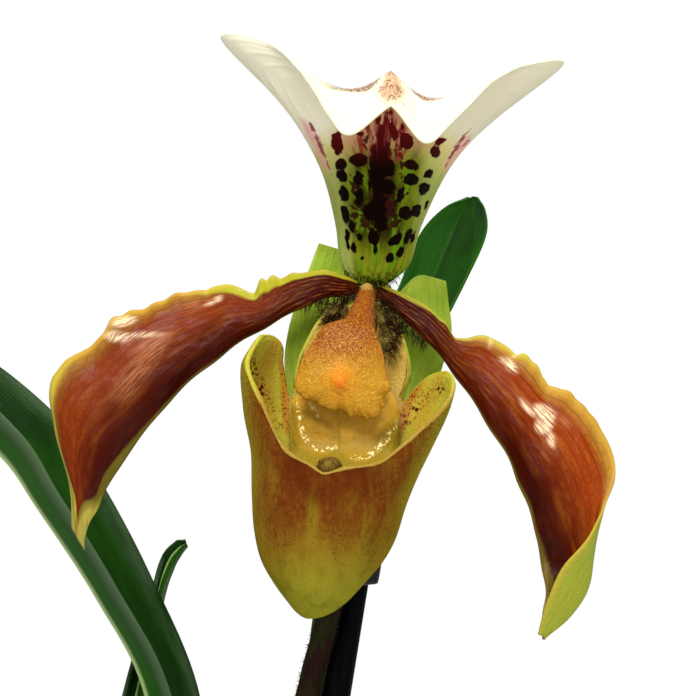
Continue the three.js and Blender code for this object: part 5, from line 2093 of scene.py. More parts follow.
def petal_right() -> Petal:
    """The right petal, with its stations, its rim's bumps and the marks in the portrait where its highlights
    and sheen are painted.

    Returns:
        The petal, not built yet.
    """
    return Petal(
        side="right",
        stations=(
            [1.0, 0.1, -1.6, 1.1, 0.0, 0.3, 0.3, 0, 0], [4.4, -1.2, -4.4, 4.8, -0.7, -1.2, 0, -0.5, 0],
            [8.2, -2.8, -8.0, 8.6, -1.0, -3.4, 0, -1.0, 0],
            [11.8, -4.0, -12.2, 12.6, -2.2, -7.4, 0, -1.2, 0],
            [15.0, -5.0, -16.8, 16.6, -1.6, -7.2, 0, -1.4, 0],
            [17.8, -6.0, -21.4, 21.4, -3.2, -10.0, 0, -1.5, 0],
            [20.2, -7.0, -26.0, 25.8, -4.4, -14.0, 0, -1.6, 0],
            [22.0, -8.0, -30.4, 31.0, -5.4, -18.4, 0, -1.6, 0],
            [23.2, -8.4, -35.0, 34.2, -7.6, -25.6, 0.4, -0.6, 0],
            [24.0, -8.6, -39.4, 31.0, -11.6, -33.6, 2.6, 1.6, -0.6],
            [24.4, -8.8, -43.2, 27.0, -12.6, -38.4, 4.6, 2.6, -0.8],
            [24.0, -9.0, -46.4, 24.6, -11.8, -43.4, 3.6, 1.8, -0.6],
            [24.0, -9.4, -49.0, 23.4, -10.0, -48.2, 0.4, 0.2, 0],
        ),
        bumps=(
            (0.21, 0.5, 0.012), (0.24, -0.35, 0.012), (0.4, -0.3, 0.012), (0.425, 0.65, 0.013),
            (0.452, 0.45, 0.012), (0.472, -0.3, 0.01), (0.49, -0.6, 0.011), (0.53, 0.65, 0.014),
            (0.56, 0.3, 0.012), (0.59, 0.25, 0.012), (0.71, -0.6, 0.015),
        ),
        painted_glosses=(
            (510, 366, 19, 9, 48), (503, 362, 9, 4, 40), (527, 408, 19, 6, 52), (543, 413, 25, 16, 25),
            (544, 425, 18, 20, 20), (551, 440, 7, 15, -12), (490, 343, 3, 8, 10), (516, 356, 10, 3, -30),
        ),
        painted_sheens=(
            (566, 421, 26, 11, 22), (550, 442, 14, 24, -15), (546, 574, 4, 24, -6),
        ),
        orange_at=0.62,
        lime_end=0.2,
        rim_from=0.94,
        rim_band=0.8,
    )


@dataclass
class Flower:
    """The whole flower, facing the portrait."""

    def build(self) -> None:
        """Builds its sepals, petals, lip and column."""
        DorsalSepal().build()
        Synsepal().build()
        petal_left().build()
        petal_right().build()
        PetalBaseHairs().build()
        Lip().build()
        Column().build()
        Receptacle().build()


# The stem


SCAPE_PATH = [[0.6, 0, 93.4], [1.4, 0, 106], [4.2, 0, 130], [8.3, 0, 152], [11.4, 0, 168],
              [14.2, 0, 179], [16.6, -1.8, 190], [18.2, -3.8, 199.8], [18.42, -4.05, 201.2]]
OVARY_PATH = [[0, 0.95, -0.2], [0, 6, -0.9], [-0.5, 11, -4.2], [-1.0, 15, -10.6], [-1.5, 17.2, -18.4],
              [-1.8, 18.1, -26.4]]
STAKE = {"x": 15.5, "y": 1.9, "z": 168.0, "lean_x": 0.163, "lean_y": 0.18, "foot": 12.0, "head": 206.0,
         "radius": 2.15}


def clasp_row(facing: float, radius: float, z: float, centre: Sequence[float] = (0, 0)) -> list[float]:
    """The clasping foot of a leaf or bract, as a station.

    Args:
        facing: where its keel faces, in degrees.
        radius: its radius.
        z: its height.
        centre: the middle that it clasps.

    Returns:
        The station's nine numbers.
    """
    a, half = np.radians(facing), np.radians(62)
    x, y = centre
    row = []
    for turn in (-half, half):
        row += [x + radius * np.cos(a + turn), y + radius * np.sin(a + turn), z]
    middle = radius * (1 - np.cos(half))
    return row + [middle * np.cos(a), middle * np.sin(a), 0]


def leaf_stations(rows: Sequence[Sequence[float]]) -> list[list[float]]:
    """Stations from rows of a leaf's middle.

    Args:
        rows: x, y, z, the direction's x and y, half width, keel depth and, where it has one, shift.

    Returns:
        The stations, nine numbers each.
    """
    stations = []
    for x, y, z, ax, ay, half, depth, *shift in rows:
        out = shift[0] if shift else 0
        stations.append([x - ax * half, y - ay * half, z, x + ax * half, y + ay * half, z, out, 0, -depth])
    return stations


@dataclass(frozen=True)
class StemFinish:
    """Maroon-green skin under short dense hairs."""

    green: tuple = srgb(31, 33, 9)
    maroon: tuple = srgb(34, 14, 8)

    def make(self, name: str, lift: float = 1.0) -> Material:
        """The material, with its colours lightened by a factor.

        Args:
            name: the material's name.
            lift: the factor.

        Returns:
            The material.
        """
        f = Finish(name, 0.6)
        cloud = f.cloud(f.solid(), (900, 900, 220), 4, 0.6)
        fine = f.cells(f.solid(), (1800, 1800, 900))
        green = tuple(min(c * lift, 1) for c in self.green[:3]) + (1.0,)
        maroon = tuple(min(c * lift, 1) for c in self.maroon[:3]) + (1.0,)
        return f.done(f.mix(f.step(cloud, 0.38, 0.62), green, maroon),
                      f.relief(fine, 0.2, f.relief(cloud, 0.3)))


@dataclass
class Stem:
    """The scape with the ovary and its bract, and the stake and clip that hold it."""

    scape_radius: float = 1.7
    ovary_radii: tuple = (1.9, 2.3, 2.6, 2.4, 2.1, 1.8)
    clip_low: float = 183.5
    clip_high: float = 188.0
    clip_wall: float = 1.1
    clip_gap: float = 0.35

    def build(self) -> None:
        """Builds the stem's pieces."""
        self.scape()
        self.ovary()
        self.bract()
        self.stake()
        self.clip()

    def round_hairs(self, name: str, path: Points, radius: float, count: int, length: float,
                    seed: int) -> None:
        """Hairs all round a rod that follows a path.

        Args:
            name: their name.
            path: the path.
            radius: the rod's radius.
            count: how many.
            length: their usual length.
            seed: the seed of their random numbers.
        """
        rng = np.random.default_rng(seed)
        centres, first, second = frames_along(path, 200)
        row = rng.integers(1, 199, count)
        out = around(first[row], second[row], rng.uniform(0, 2 * np.pi, count))
        shift = rng.uniform(0, 1, count)[:, None]
        roots = centres[row] * (1 - shift) + centres[row + 1] * shift + out * radius * 0.97
        ways = out + rng.normal(0, 0.3, out.shape)
        hairs(name, roots, ways, length * rng.uniform(0.5, 1.2, count), 0.075,
              HairFinish(f"{name}_finish", srgb(54, 38, 24)), 0.15)

    def scape(self) -> None:
        """The flower stalk and its hairs."""
        radius = self.scape_radius
        obj = rod("scape_stalk", np.array(SCAPE_PATH, float), [radius, radius], 32, 200)
        p = points_of(obj)
        swell = ripples(p / MM, 2.6)[:, None] * 0.12 * MM
        path = np.array(SCAPE_PATH, float)
        out = p.copy()
        out[:, 2] = 0
        for n in (0, 1):
            out[:, n] -= np.interp(p[:, 2] / MM, path[:, 2], path[:, n]) * MM
        set_points(obj, p + unit(out) * swell)
        smooth(obj)
        dress(obj, [StemFinish().make("scape_skin")], ["scape"])
        self.round_hairs("scape_hairs", path, radius, 5200, 0.5, 21)

    def ovary(self) -> None:
        """The ribbed ovary behind the flower and its hairs."""
        path = np.array(OVARY_PATH, float) + FLOWER
        obj = rod("ovary_body", path, self.ovary_radii, 72, 90,
                  lambda u, angle: 1 - 0.07 * ease(u, 0, 0.1) * (1 - np.cos(6 * angle)) / 2)
        smooth(obj)
        dress(obj, [StemFinish().make("ovary_skin", 1.9)], ["ovary"])
        self.round_hairs("ovary_hairs", path, 2.2, 1800, 0.55, 22)

    def bract(self) -> None:
        """The bract that sheathes the ovary's foot."""
        stations = [
            clasp_row(95, 2.05, -28.2, (-1.95, 18.35)), clasp_row(95, 2.45, -26.6, (-1.85, 18.2)),
            clasp_row(95, 2.8, -24.0, (-1.8, 18.0)), clasp_row(95, 3.1, -20.0, (-1.7, 17.7)),
            clasp_row(95, 3.2, -15.0, (-1.3, 17.2)), clasp_row(95, 2.4, -9.0, (-0.9, 17.6)),
            [0.0, 20.4, -4.6, -1.6, 20.4, -4.6, 0, 0.4, 0]]
        obj, u, v = grid("bract_blade", 60, 30)
        set_points(obj, place(stationed(stations)(u, v), FLOWER))
        thicken(obj, 0.6, thinned(v, 0.4))
        smooth(obj)
        f = Finish("bract_skin", 0.5)
        uv, _, across = f.sheet()
        veins = f.stripes(across, 11, 0.25, f.times(f.cloud(uv, (3, 2, 1)), 0.05))
        specks = f.step(f.cloud(uv, (40, 30, 1), 3), 0.55, 0.66)
        f.ground = f.mix(f.times(veins, 0.5), srgb(112, 124, 52), srgb(72, 84, 34))
        dress(obj, [f.done(f.mix(f.times(specks, 0.7), f.ground, srgb(84, 34, 30)), f.relief(veins, 0.15))],
              ["bract"])

    def stake_point(self, z: float) -> list[float]:
        """The middle of the stake at a height."""
        rise = z - STAKE["z"]
        return [STAKE["x"] + STAKE["lean_x"] * rise, STAKE["y"] + STAKE["lean_y"] * rise, z]

    def stake(self) -> None:
        """The black stake, with its rounded head and the fine grooves of drawn plastic."""
        foot, head, radius = STAKE["foot"], STAKE["head"], STAKE["radius"]
        path = [self.stake_point(foot + (head - foot) * k / 8) for k in range(9)]
        obj = rod("stake_rod", np.array(path), [radius] * 9, 40, 150)
        bevelled(obj, 0.5, 3, 60)
        smooth(obj, 40)
        f = Finish("stake_plastic", 0.42, Specular_IOR_Level=0.04)
        grooves = f.cloud(f.solid(), (3600, 3600, 60), 3)
        scuffs = f.cloud(f.solid(), (300, 300, 80), 4)
        body = f.mix(f.step(scuffs, 0.5, 0.75), srgb(1, 1, 3), srgb(8, 8, 10))
        dress(obj, [f.done(body, f.relief(grooves, 0.12), f.step(scuffs, 0.35, 0.7, 0.34, 0.6))],
              ["stake"])

    def clip(self) -> None:
        """The plastic clip round the scape and the stake: one rounded band."""
        obj, u, v = grid("stake_clip_band", 96, 36)
        path = np.array(SCAPE_PATH, float)
        heights = (self.clip_low + self.clip_high) / 2
        half = (self.clip_high - self.clip_low) / 2
        wall = self.clip_wall / 2
        section = np.pi * v
        rise = half * np.tanh(1.9 * np.sin(section)) / np.tanh(1.9)
        out = wall * np.tanh(1.5 * np.cos(section)) / np.tanh(1.5)
        z = heights + rise
        first = np.stack([np.interp(z, path[:, 2], path[:, n]) for n in (0, 1)], axis=1)
        second = np.array([self.stake_point(value)[:2] for value in z])
        across = second - first
        angle = np.arctan2(across[:, 1], across[:, 0])
        share = u * 4
        offset = self.clip_gap + wall + out
        near, far = self.scape_radius + offset, STAKE["radius"] + offset
        spin = np.where(share < 1, np.pi / 2 + np.pi * share, np.where(share < 2, 1.5 * np.pi,
                        np.where(share < 3, -np.pi / 2 + np.pi * (share - 2), np.pi / 2)))
        centre = np.where(share < 1, 0, np.where(share < 2, share - 1, np.where(share < 3, 1, 4 - share)))
        radius = near * (1 - centre) + far * centre
        middle = first + across * centre[:, None]
        flat = middle + np.stack([np.cos(angle + spin), np.sin(angle + spin)], axis=1) * radius[:, None]
        set_points(obj, place(np.column_stack([flat, z])))
        close_seams(obj)
        face_out(obj)
        smooth(obj, 50)
        f = Finish("clip_plastic", 0.35, Specular_IOR_Level=0.08)
        grain = f.cloud(f.solid(), 2400, 2)
        dress(obj, [f.done(f.mix(grain, srgb(10, 10, 12), srgb(18, 18, 21)), f.relief(grain, 0.06))],
              ["stake_clip"])


# The foliage


YOUNG = (-27, 16)


class LeafKind(Enum):
    """How a leaf is coloured: which of its halves is the lighter one."""

    FAR_DARK = "far_dark"
    NEAR_DARK = "near_dark"
    EVEN = "even"


@dataclass(frozen=True)
class LeafFinish:
    """Leathery green with fine parallel veins, a paler keel and a pale rim."""

    dark: tuple = srgb(11, 36, 4)
    green: tuple = srgb(15, 58, 2)
    light: tuple = srgb(38, 92, 10)
    keel: tuple = srgb(104, 140, 62)
    margin: tuple = srgb(178, 206, 128)
    sheen: tuple = srgb(78, 96, 70)
    purple: tuple = srgb(70, 34, 48)

    def make(self, name: str, kind: LeafKind) -> Material:
        """The material of a leaf.

        Args:
            name: the material's name.
            kind: which half is lighter.

        Returns:
            The material.
        """
        f = Finish(name, 0.4, flesh=(0.06, 1, 2, 0.6), Specular_IOR_Level=0.05)
        uv, u, v = f.sheet()
        cloud = f.cloud(uv, (7, 3, 1), 4, 0.6)
        wobble = f.swing(f.cloud(uv, (3, 2, 1)), 0.02)
        fine = f.stripes(v, 44, 0.3, wobble)
        broad = f.cloud(uv, (2, 46, 1), 3)
        low, high = {LeafKind.FAR_DARK: (self.green, self.dark), LeafKind.NEAR_DARK: (self.dark, self.green),
                     LeafKind.EVEN: (self.green, self.green)}[kind]
        f.ground = f.mix(f.step(v, 0.47, 0.53), low, high)
        f.over(self.light, f.step(cloud, 0.3, 0.75, 0, 0.4))
        f.over(self.dark, f.step(broad, 0.35, 0.65, 0, 0.25))
        f.over(self.light, fine, 0.07)
        middle = f.away(v, 0.5)
        ridge = 0.5 if kind is LeafKind.EVEN else 0.1
        f.over(self.keel, f.step(middle, 0.025, 0.006, 0, ridge))
        if kind is LeafKind.FAR_DARK:
            under = f.step(v, 0.515, 0.495)
            f.over(self.light, under, f.step(v, 0.08, 0.2, 0, 0.6))
            f.over(self.sheen, under, f.step(v, 0.17, 0.02, 0, 0.75))
            pale = f.step(f.plus(v, f.times(wobble, 3)), 0.31, 0.42, 0, 0.95)
            f.over(self.margin, under, pale)
            f.over(self.sheen, f.step(v, 0.84, 0.98, 0, 0.5), f.step(cloud, 0.35, 0.6))
        else:
            f.over(self.light, f.step(middle, 0.485, 0.497, 0, 0.7))
        spots = f.step(f.cells(uv, (60, 26, 1)), 0.4, 0.2)
        f.over(self.purple, spots, f.step(u, 0.2, 0.06, 0, 0.8))
        low_relief = f.relief(fine, 0.03, f.relief(broad, 0.08))
        return f.done(f.ground, f.relief(f.cells(f.solid(), 1800), 0.03, low_relief),
                      f.step(cloud, 0.3, 0.7, 0.32, 0.46))


def leaf_tables() -> dict[str, tuple[LeafKind, list]]:
    """The stations of every leaf, foot first, by the name of its node.

    Returns:
        For each node, which half is lighter and the stations.
    """
    return {
        "leaf_left_high": (LeafKind.FAR_DARK, [
            clasp_row(180, 3.9, 91.1),
            clasp_row(175, 4.6, 98),
            [-3.4, -0.6, 118, -2.6, 7.6, 118, -5.0, 0.5, 0],
            [-4.8, 5.0, 142, -3.0, 15.0, 142, -5.6, 0.4, 0],
            [-8.9, 12.5, 166.4, -5.3, 23.0, 165.4, -5.6, -0.7, 0],
            [-17.0, 13.0, 182.7, -13.0, 25.0, 184.1, -5.0, -0.5, -2.9],
            [-25.5, 13.0, 196.4, -21.2, 26.5, 199.4, -5.5, -0.2, -4.0],
            [-31.6, 13.0, 205.7, -28.0, 27.0, 208.9, -5.2, -0.2, -4.9],
            [-45.0, 11.5, 217.0, -42.4, 28.5, 219.6, -3.7, 0, -5.6],
            [-62.0, 8.5, 224.6, -60.6, 29.5, 226.6, -1.7, 0, -5.8],
            [-82.0, 5.0, 226.6, -80.6, 27.0, 228.4, -0.5, 0, -5.4],
            [-100.0, 3.0, 221.5, -98.6, 21.5, 223.0, 0, 0, -4.2],
            [-111.5, 4.5, 211.0, -110.5, 14.0, 212.0, 0, 0, -2.2],
            [-116.4, 8.0, 203.5, -116.2, 10.0, 203.8, 0, 0, -0.4],
        ]),
        "leaf_right_high": (LeafKind.NEAR_DARK, [
            clasp_row(10, 3.9, 91.1),
            clasp_row(24, 4.6, 98),
            [8.2, 0.6, 112, 4.6, 6.6, 112, 2.6, 2.6, 0], [11.6, 7.4, 130, 6.6, 9.6, 130, 1.6, 3.2, 0],
            [13.6, 13.2, 150, 8.8, 13.6, 150, 0, 3.2, 0], [15.6, 16.6, 168, 11.0, 17.0, 168, 0, 3.0, 0],
            [17.2, 18.2, 179, 12.2, 18.7, 179, 0, 2.8, 0], [20.0, 20.6, 193, 13.4, 21.6, 193, 0, 2.8, 0],
            [25.0, 24.6, 208, 16.0, 26.2, 206, 0, 3.0, 0], [30.6, 28.8, 220, 20.4, 30.8, 218, 0, 3.0, 0],
            [35.2, 32.8, 229, 25.0, 34.8, 227.4, 0, 2.8, 0],
            [38.2, 36.4, 235.4, 28.0, 38.0, 235.0, 0, 2.2, 0],
            [38.3, 38.2, 239.2, 31.8, 39.4, 239.4, 0, 1.2, 0],
            [37.2, 39.6, 241.3, 35.6, 40.0, 241.2, 0, 0.4, 0],
        ]),
        "leaf_left_middle": (LeafKind.EVEN, [
            clasp_row(182, 6.0, 89.6),
            clasp_row(182, 7.4, 95),
            *leaf_stations([
                [-14.5, -0.5, 112, 0, 1, 6.6, 4.5, -4.0], [-28, -1.4, 130, 0, 1, 8.4, 5.6, -2.0],
                [-48, -3, 144, 0, 1, 10.4, 4.8], [-72, -5, 147, 0, 1, 11.4, 4.2],
                [-94, -6, 138.6, 0, 1, 10.2, 3.4], [-110, -7, 124, 0, 1, 6.4, 2.0],
                [-116.5, -7.5, 112, 0, 1, 1.4, 0.4],
            ]),
        ]),
        "leaf_right_middle": (LeafKind.EVEN, [
            clasp_row(-2, 6.0, 89.6),
            clasp_row(-1, 7.4, 95),
            *leaf_stations([
                [15, 0.8, 112, 0, 1, 6.2, 4.5, 4.0], [29, 1.6, 130, 0, 1, 8.2, 5.6, 2.0],
                [50, 3, 146, 0, 1, 10.4, 4.8], [76, 5, 150, 0, 1, 11.4, 4.2], [97, 6, 140, 0, 1, 10.0, 3.2],
                [110, 7, 126, 0, 1, 6.2, 2.0], [116, 7.5, 114, 0, 1, 1.4, 0.4],
            ]),
        ]),
        "leaf_left_low": (LeafKind.EVEN, [
            clasp_row(192, 8.4, 88.1),
            clasp_row(194, 10.4, 91.4),
            *leaf_stations([
                [-22, -8, 101.6, -0.35, 0.94, 7.6, 4.2, -1.6], [-36, -15, 109, -0.4, 0.92, 9.4, 4.6],
                [-55, -25, 112, -0.42, 0.9, 10.8, 4.2], [-74, -35, 104.6, -0.42, 0.9, 10.4, 3.6],
                [-90, -42.5, 89, -0.42, 0.9, 7.4, 2.4], [-98, -46, 76, -0.42, 0.9, 1.6, 0.4],
            ]),
        ]),
        "leaf_right_low": (LeafKind.EVEN, [
            clasp_row(12, 8.4, 88.1),
            clasp_row(14, 10.4, 91.4),
            *leaf_stations([
                [22, 8.4, 101.8, -0.35, 0.94, 7.4, 4.2, 1.6], [36, 16, 109.6, -0.4, 0.92, 9.2, 4.6],
                [56, 27, 113, -0.42, 0.9, 10.8, 4.2], [77, 38, 107, -0.42, 0.9, 10.6, 3.6],
                [93, 46, 92, -0.42, 0.9, 7.4, 2.4], [100, 50, 79, -0.42, 0.9, 1.6, 0.4],
            ]),
        ]),
        "young_leaf_tall": (LeafKind.FAR_DARK, [
            clasp_row(80, 2.7, 87.6, YOUNG),
            clasp_row(80, 3.0, 94, YOUNG),
            [-20.4, 18.0, 120, -26.2, 18.8, 120, 0.4, 3.0, 0],
            [-17.2, 21.4, 142, -22.0, 22.2, 142, 0.2, 2.6, 0],
            [-13.1, 26.4, 165.2, -17.0, 26.8, 165.2, 0, 1.8, 0],
            [-10.9, 28.0, 179.6, -12.9, 28.4, 180.2, 0, 0.9, 0],
            [-9.4, 28.6, 184.6, -11.2, 28.8, 186.0, 0, 0.6, 0],
            [-8.2, 28.8, 186.6, -9.2, 29.0, 188.4, 0, 0.4, 0],
            [-7.2, 29.0, 187.8, -7.5, 29.1, 188.9, 0, 0.2, 0],
        ]),
        "young_leaf_left": (LeafKind.EVEN, [
            clasp_row(200, 4.6, 87.2, YOUNG),
            clasp_row(195, 5.0, 92, YOUNG),
            *leaf_stations([
                [-37.5, 17, 105, 0.1, 1, 5.0, 3.0, -2.0], [-45.5, 21, 119, 0.3, 0.95, 6.4, 4.0],
                [-56, 28, 129, 0.45, 0.89, 7.2, 3.6], [-67, 36, 131, 0.5, 0.87, 5.6, 2.4],
                [-74, 41, 128, 0.5, 0.87, 1.4, 0.4],
            ]),
        ]),
    }


@dataclass
class Foliage:
    """The fan of leaves and the young growth beside it."""

    thick: float = 0.8

    def build(self) -> None:
        """Builds every leaf."""
        for name, (kind, stations) in leaf_tables().items():
            self.leaf(name, kind, stations)

    def leaf(self, name: str, kind: LeafKind, stations: list) -> None:
        """One leaf with its keel and the slight waves of its blade.

        Args:
            name: the name of its node.
            kind: how it is coloured.
            stations: its stations, foot first.
        """
        surface = stationed(stations, folded_sag)
        obj, u, v = grid(f"{name}_blade", 150, 30)
        p = surface(u, v)
        free = ease(u, 0.12, 0.35) * ease(u, 1.0, 0.9)
        wave = 0.35 * np.sin(9 * u + 2.2 * np.sign(v)) * np.abs(v) ** 2 * free
        p = p + normals_of(surface, u, v) * (wave * (1 + 0.5 * ripples(p, 14.0)))[:, None]
        set_points(obj, place(p))
        thicken(obj, self.thick, thinned(v, 0.45, 0.86))
        smooth(obj)
        dress(obj, [LeafFinish().make(f"{name}_skin", kind)], [name])


# The pot, the bark and the roots


def turned(name: str, profile: Sequence[Sequence[float]], sides: int, cuts: int = 1) -> Piece:
    """Turns a profile of radius and height round the vertical axis into a closed piece.

    Args:
        name: the piece's name.
        profile: its corners from the axis back to the axis, in millimetres.
        sides: faces round it.
        cuts: faces along each stretch of the profile.

    Returns:
        The piece.
    """
    corners = np.array(profile, float)
    steps = (len(corners) - 1) * cuts
    obj, u, v = grid(name, steps, sides)
    at = u * (len(corners) - 1)
    radius = np.interp(at, np.arange(len(corners)), corners[:, 0])
    height = np.interp(at, np.arange(len(corners)), corners[:, 1])
    angle = np.pi * v
    set_points(obj, place(np.stack([radius * np.cos(angle), radius * np.sin(angle), height], axis=1)))
    close_seams(obj)
    face_out(obj)
    return obj


@dataclass(frozen=True)
class PotFinish:
    """Matte terracotta-coloured plastic with scuffs, dust and a damp tide mark."""

    clay: tuple = srgb(158, 88, 58)
    worn: tuple = srgb(186, 120, 88)
    damp: tuple = srgb(112, 60, 40)
    lime: tuple = srgb(206, 186, 166)

    def make(self) -> Material:
        """The pot's material.

        Returns:
            The material.
        """
        f = Finish("pot_plastic", 0.62)
        solid = f.solid()
        _, _, z = f.split(solid)
        broad = f.cloud(solid, (26, 26, 18), 5, 0.6)
        grain = f.cloud(solid, 2600, 2)
        scratches = f.cloud(solid, (90, 90, 900), 4, 0.7)
        f.ground = f.mix(f.step(broad, 0.35, 0.7), self.clay, self.worn)
        tide = f.plus(z, f.swing(broad, 0.03))
        f.over(self.damp, f.step(tide, 0.03, 0.012, 0, 0.7))
        crust = f.times(f.step(scratches, 0.56, 0.7), f.step(f.away(tide, 0.032), 0.012, 0))
        f.over(self.lime, crust, 0.6)
        f.over(self.lime, f.step(grain, 0.4, 0.7, 0, 0.12))
        return f.done(f.ground, f.relief(grain, 0.05, f.relief(scratches, 0.06)),
                      f.step(broad, 0.3, 0.7, 0.5, 0.72))


@dataclass(frozen=True)
class BarkFinish:
    """Pine bark: layered red-brown plates with grey weathered faces and dark seams."""

    red: tuple = srgb(112, 62, 36)
    brown: tuple = srgb(78, 48, 30)
    grey: tuple = srgb(138, 116, 96)
    dark: tuple = srgb(34, 22, 15)

    def make(self) -> Material:
        """The bark's material.

        Returns:
            The material.
        """
        f = Finish("bark_skin", 0.88)
        solid = f.solid()
        layers = f.cloud(solid, (300, 420, 1100), 5, 0.6, 0.6, turn=(0.4, 0.3, 0.8))
        pieces = f.cloud(solid, 110, 2)
        fine = f.cloud(solid, 1900, 4, 0.7)
        f.ground = f.ramp(layers, [(0.3, self.dark), (0.44, self.brown), (0.56, self.red), (0.7, self.grey)])
        f.over(self.brown, f.step(pieces, 0.4, 0.65, 0, 0.5))
        f.over(self.dark, f.step(fine, 0.58, 0.72, 0, 0.5))
        return f.done(f.ground, f.relief(fine, 0.35, f.relief(layers, 0.6)))


@dataclass(frozen=True)
class RootFinish:
    """Velvety brown roots with paler patches."""

    brown: tuple = srgb(116, 88, 62)
    dark: tuple = srgb(70, 50, 34)
    pale: tuple = srgb(176, 160, 116)

    def make(self, name: str) -> Material:
        """The material of the roots and of the crown.

        Args:
            name: the material's name.

        Returns:
            The material.
        """
        f = Finish(name, 0.85, Sheen_Weight=0.3, Sheen_Roughness=0.6)
        cloud = f.cloud(f.solid(), 380, 4, 0.6)
        fuzz = f.cells(f.solid(), 2600)
        f.ground = f.mix(f.step(cloud, 0.35, 0.65), self.dark, self.brown)
        f.over(self.pale, f.step(cloud, 0.62, 0.8))
        return f.done(f.ground, f.relief(fuzz, 0.2, f.relief(cloud, 0.4)))


@dataclass
class Pot:
    """The pot, the bark that fills it, and the crown and roots of the plant."""

    height: float = 90.0
    rim: float = 55.0
    shoulder: float = 51.0
    foot: float = 38.0
    wall: float = 1.8
    band: float = 9.0
    floor: float = 2.4
    drains: int = 6
    drain_ring: float = 24.0
    drain_radius: float = 4.0
    bark_top: float = 83.5
    gap: float = 0.4
    chip_count: int = 44
    seed: int = 11
    crown: tuple = (
        [0, 77], [6, 78], [8.6, 82], [9.0, 87.7], [6.6, 87.7], [6.5, 89.2], [4.6, 89.2],
        [4.5, 90.7], [2.6, 90.7], [2.2, 93.0], [0, 93.0])
    bud: tuple = (
        [0, 78], [4, 79], [5.6, 83], [5.4, 86.8], [3.4, 86.8], [3.2, 87.2], [1.6, 87.2], [1.2, 92], [0, 92])
    roots: tuple = (
        [[6, -4, 84], [14, -8, 86.6], [22, -13, 84], [28, -16, 74]],
        [[-4, -6, 84], [-8, -15, 87], [-11, -24, 84.6], [-13, -31, 73]],
        [[5, 6, 84], [11, 16, 87.4], [15, 25, 84], [17, 32, 72]],
        [[-28, 19, 83], [-29, 26, 86.4], [-29.5, 31, 81], [-29, 33, 71]],
    )
    root_radii: tuple = (1.7, 1.9, 1.8, 1.2)
    rhizome: tuple = ([0, 0, 81], [-13, 8, 81], [-27, 16, 81])
    rhizome_radii: tuple = (3, 2.6, 3)

    def build(self) -> None:
        """Builds the pot, the bark and the roots."""
        self.shell()
        self.bed()
        self.stock()

    def shell(self) -> None:
        """The pot with its banded rim, a chamfered foot and drain holes."""
        low = self.height - self.band
        profile = [
            [0, 0], [self.foot - 0.8, 0], [self.foot, 0.8], [self.shoulder, low], [self.rim - 0.8, low],
            [self.rim, low + 0.8], [self.rim + 0.4, self.height - 0.8], [self.rim - 0.4, self.height],
            [self.rim - self.wall, self.height], [self.rim - self.wall - 0.4, low + self.wall],
            [self.shoulder - self.wall, low], [self.foot - self.wall, self.floor], [0, self.floor]]
        obj = turned("pot_shell", profile, 192)
        for k in range(self.drains):
            angle = 2 * np.pi * k / self.drains
            deselect()
            bpy.ops.mesh.primitive_cylinder_add(
                vertices=48, radius=self.drain_radius * MM, depth=4 * self.floor * MM,
                location=(self.drain_ring * np.cos(angle) * MM, self.drain_ring * np.sin(angle) * MM, 0))
            cutter = bpy.context.object
            cut = obj.modifiers.new("drain", "BOOLEAN")
            cut.operation = "DIFFERENCE"
            cut.solver = "EXACT"
            cut.object = cutter
            apply(obj, cut)
            bpy.data.objects.remove(cutter, do_unlink=True)
        bevelled(obj, 0.25, 2, 28)
        smooth(obj, 35)
        dress(obj, [PotFinish().make()], ["pot"])

    def inner(self, z: float) -> float:
        """The inner radius of the pot at a height."""
        rise = (z - self.floor) / (self.height - self.band - self.floor)
        return self.foot - self.wall + (self.shoulder - self.foot) * rise

    def chip(self, size: Sequence[float], tilt: Sequence[float], at: Sequence[float], shade: float) -> Piece:
        """One chip of bark: a block with worn corners and split layers, put where it lies.

        Args:
            size: its length, width and height in millimetres.
            tilt: its turns about x, y and z, in that order.
            at: its middle.
            shade: a number that makes its roughness its own.

        Returns:
            The chip.
        """
        deselect()
        bpy.ops.mesh.primitive_cube_add(size=1)
        obj = bpy.context.object
        obj.name = obj.data.name = "bark_chip"
        bpy.ops.object.mode_set(mode="EDIT")
        bpy.ops.mesh.select_all(action="SELECT")
        bpy.ops.mesh.subdivide(number_cuts=5)
        bpy.ops.object.mode_set(mode="OBJECT")
        p = points_of(obj)
        corner = np.linalg.norm(p, axis=1, keepdims=True)
        p = p * (1 - 0.34 * ease(corner, 0.5, 0.9))
        p = p * np.array(size)
        rough = ripples(p, 2.4, shade) * 0.55 + ripples(p, 0.9, shade + 5) * 0.2
        p += unit(p) * rough[:, None]
        p[:, 2] += 0.25 * np.round(2.4 * ripples(p * [1, 1, 0], 3.4, shade + 9))
        for axes, turn in zip([(1, 2), (2, 0), (0, 1)], tilt):
            swivel(p, axes, turn)
        set_points(obj, place(p + np.array(at)))
        return obj

    def bed(self) -> None:
        """The bark: a bed that fills the pot and the chips on it, large and small."""
        floor, shoulder = self.floor + self.gap, self.height - self.band
        profile = [[0, floor], [self.inner(floor) - self.gap, floor],
                   [self.inner(shoulder) - self.gap, shoulder],
                   [self.inner(shoulder) - self.gap, self.bark_top - 0.6]]
        profile += [[r, self.bark_top - 0.6] for r in (44, 40, 36, 32, 28, 24, 20, 16, 12, 8, 4, 0)]
        bed = turned("bark_bed", profile, 150, 2)
        p = points_of(bed) / MM
        on_top = ease(p[:, 2], self.bark_top - 2, self.bark_top - 1)
        p[:, 2] += on_top * (0.8 * ripples(p, 3.0) + 0.5 * ripples(p, 1.1, 4.0))
        set_points(bed, p * MM)
        state = self.seed

        def draw() -> float:
            """The next seeded random number from 0 to 1.

            Returns:
                The number.
            """
            nonlocal state
            state = (state * 1664525 + 1013904223) % 4294967296
            return state / 4294967296

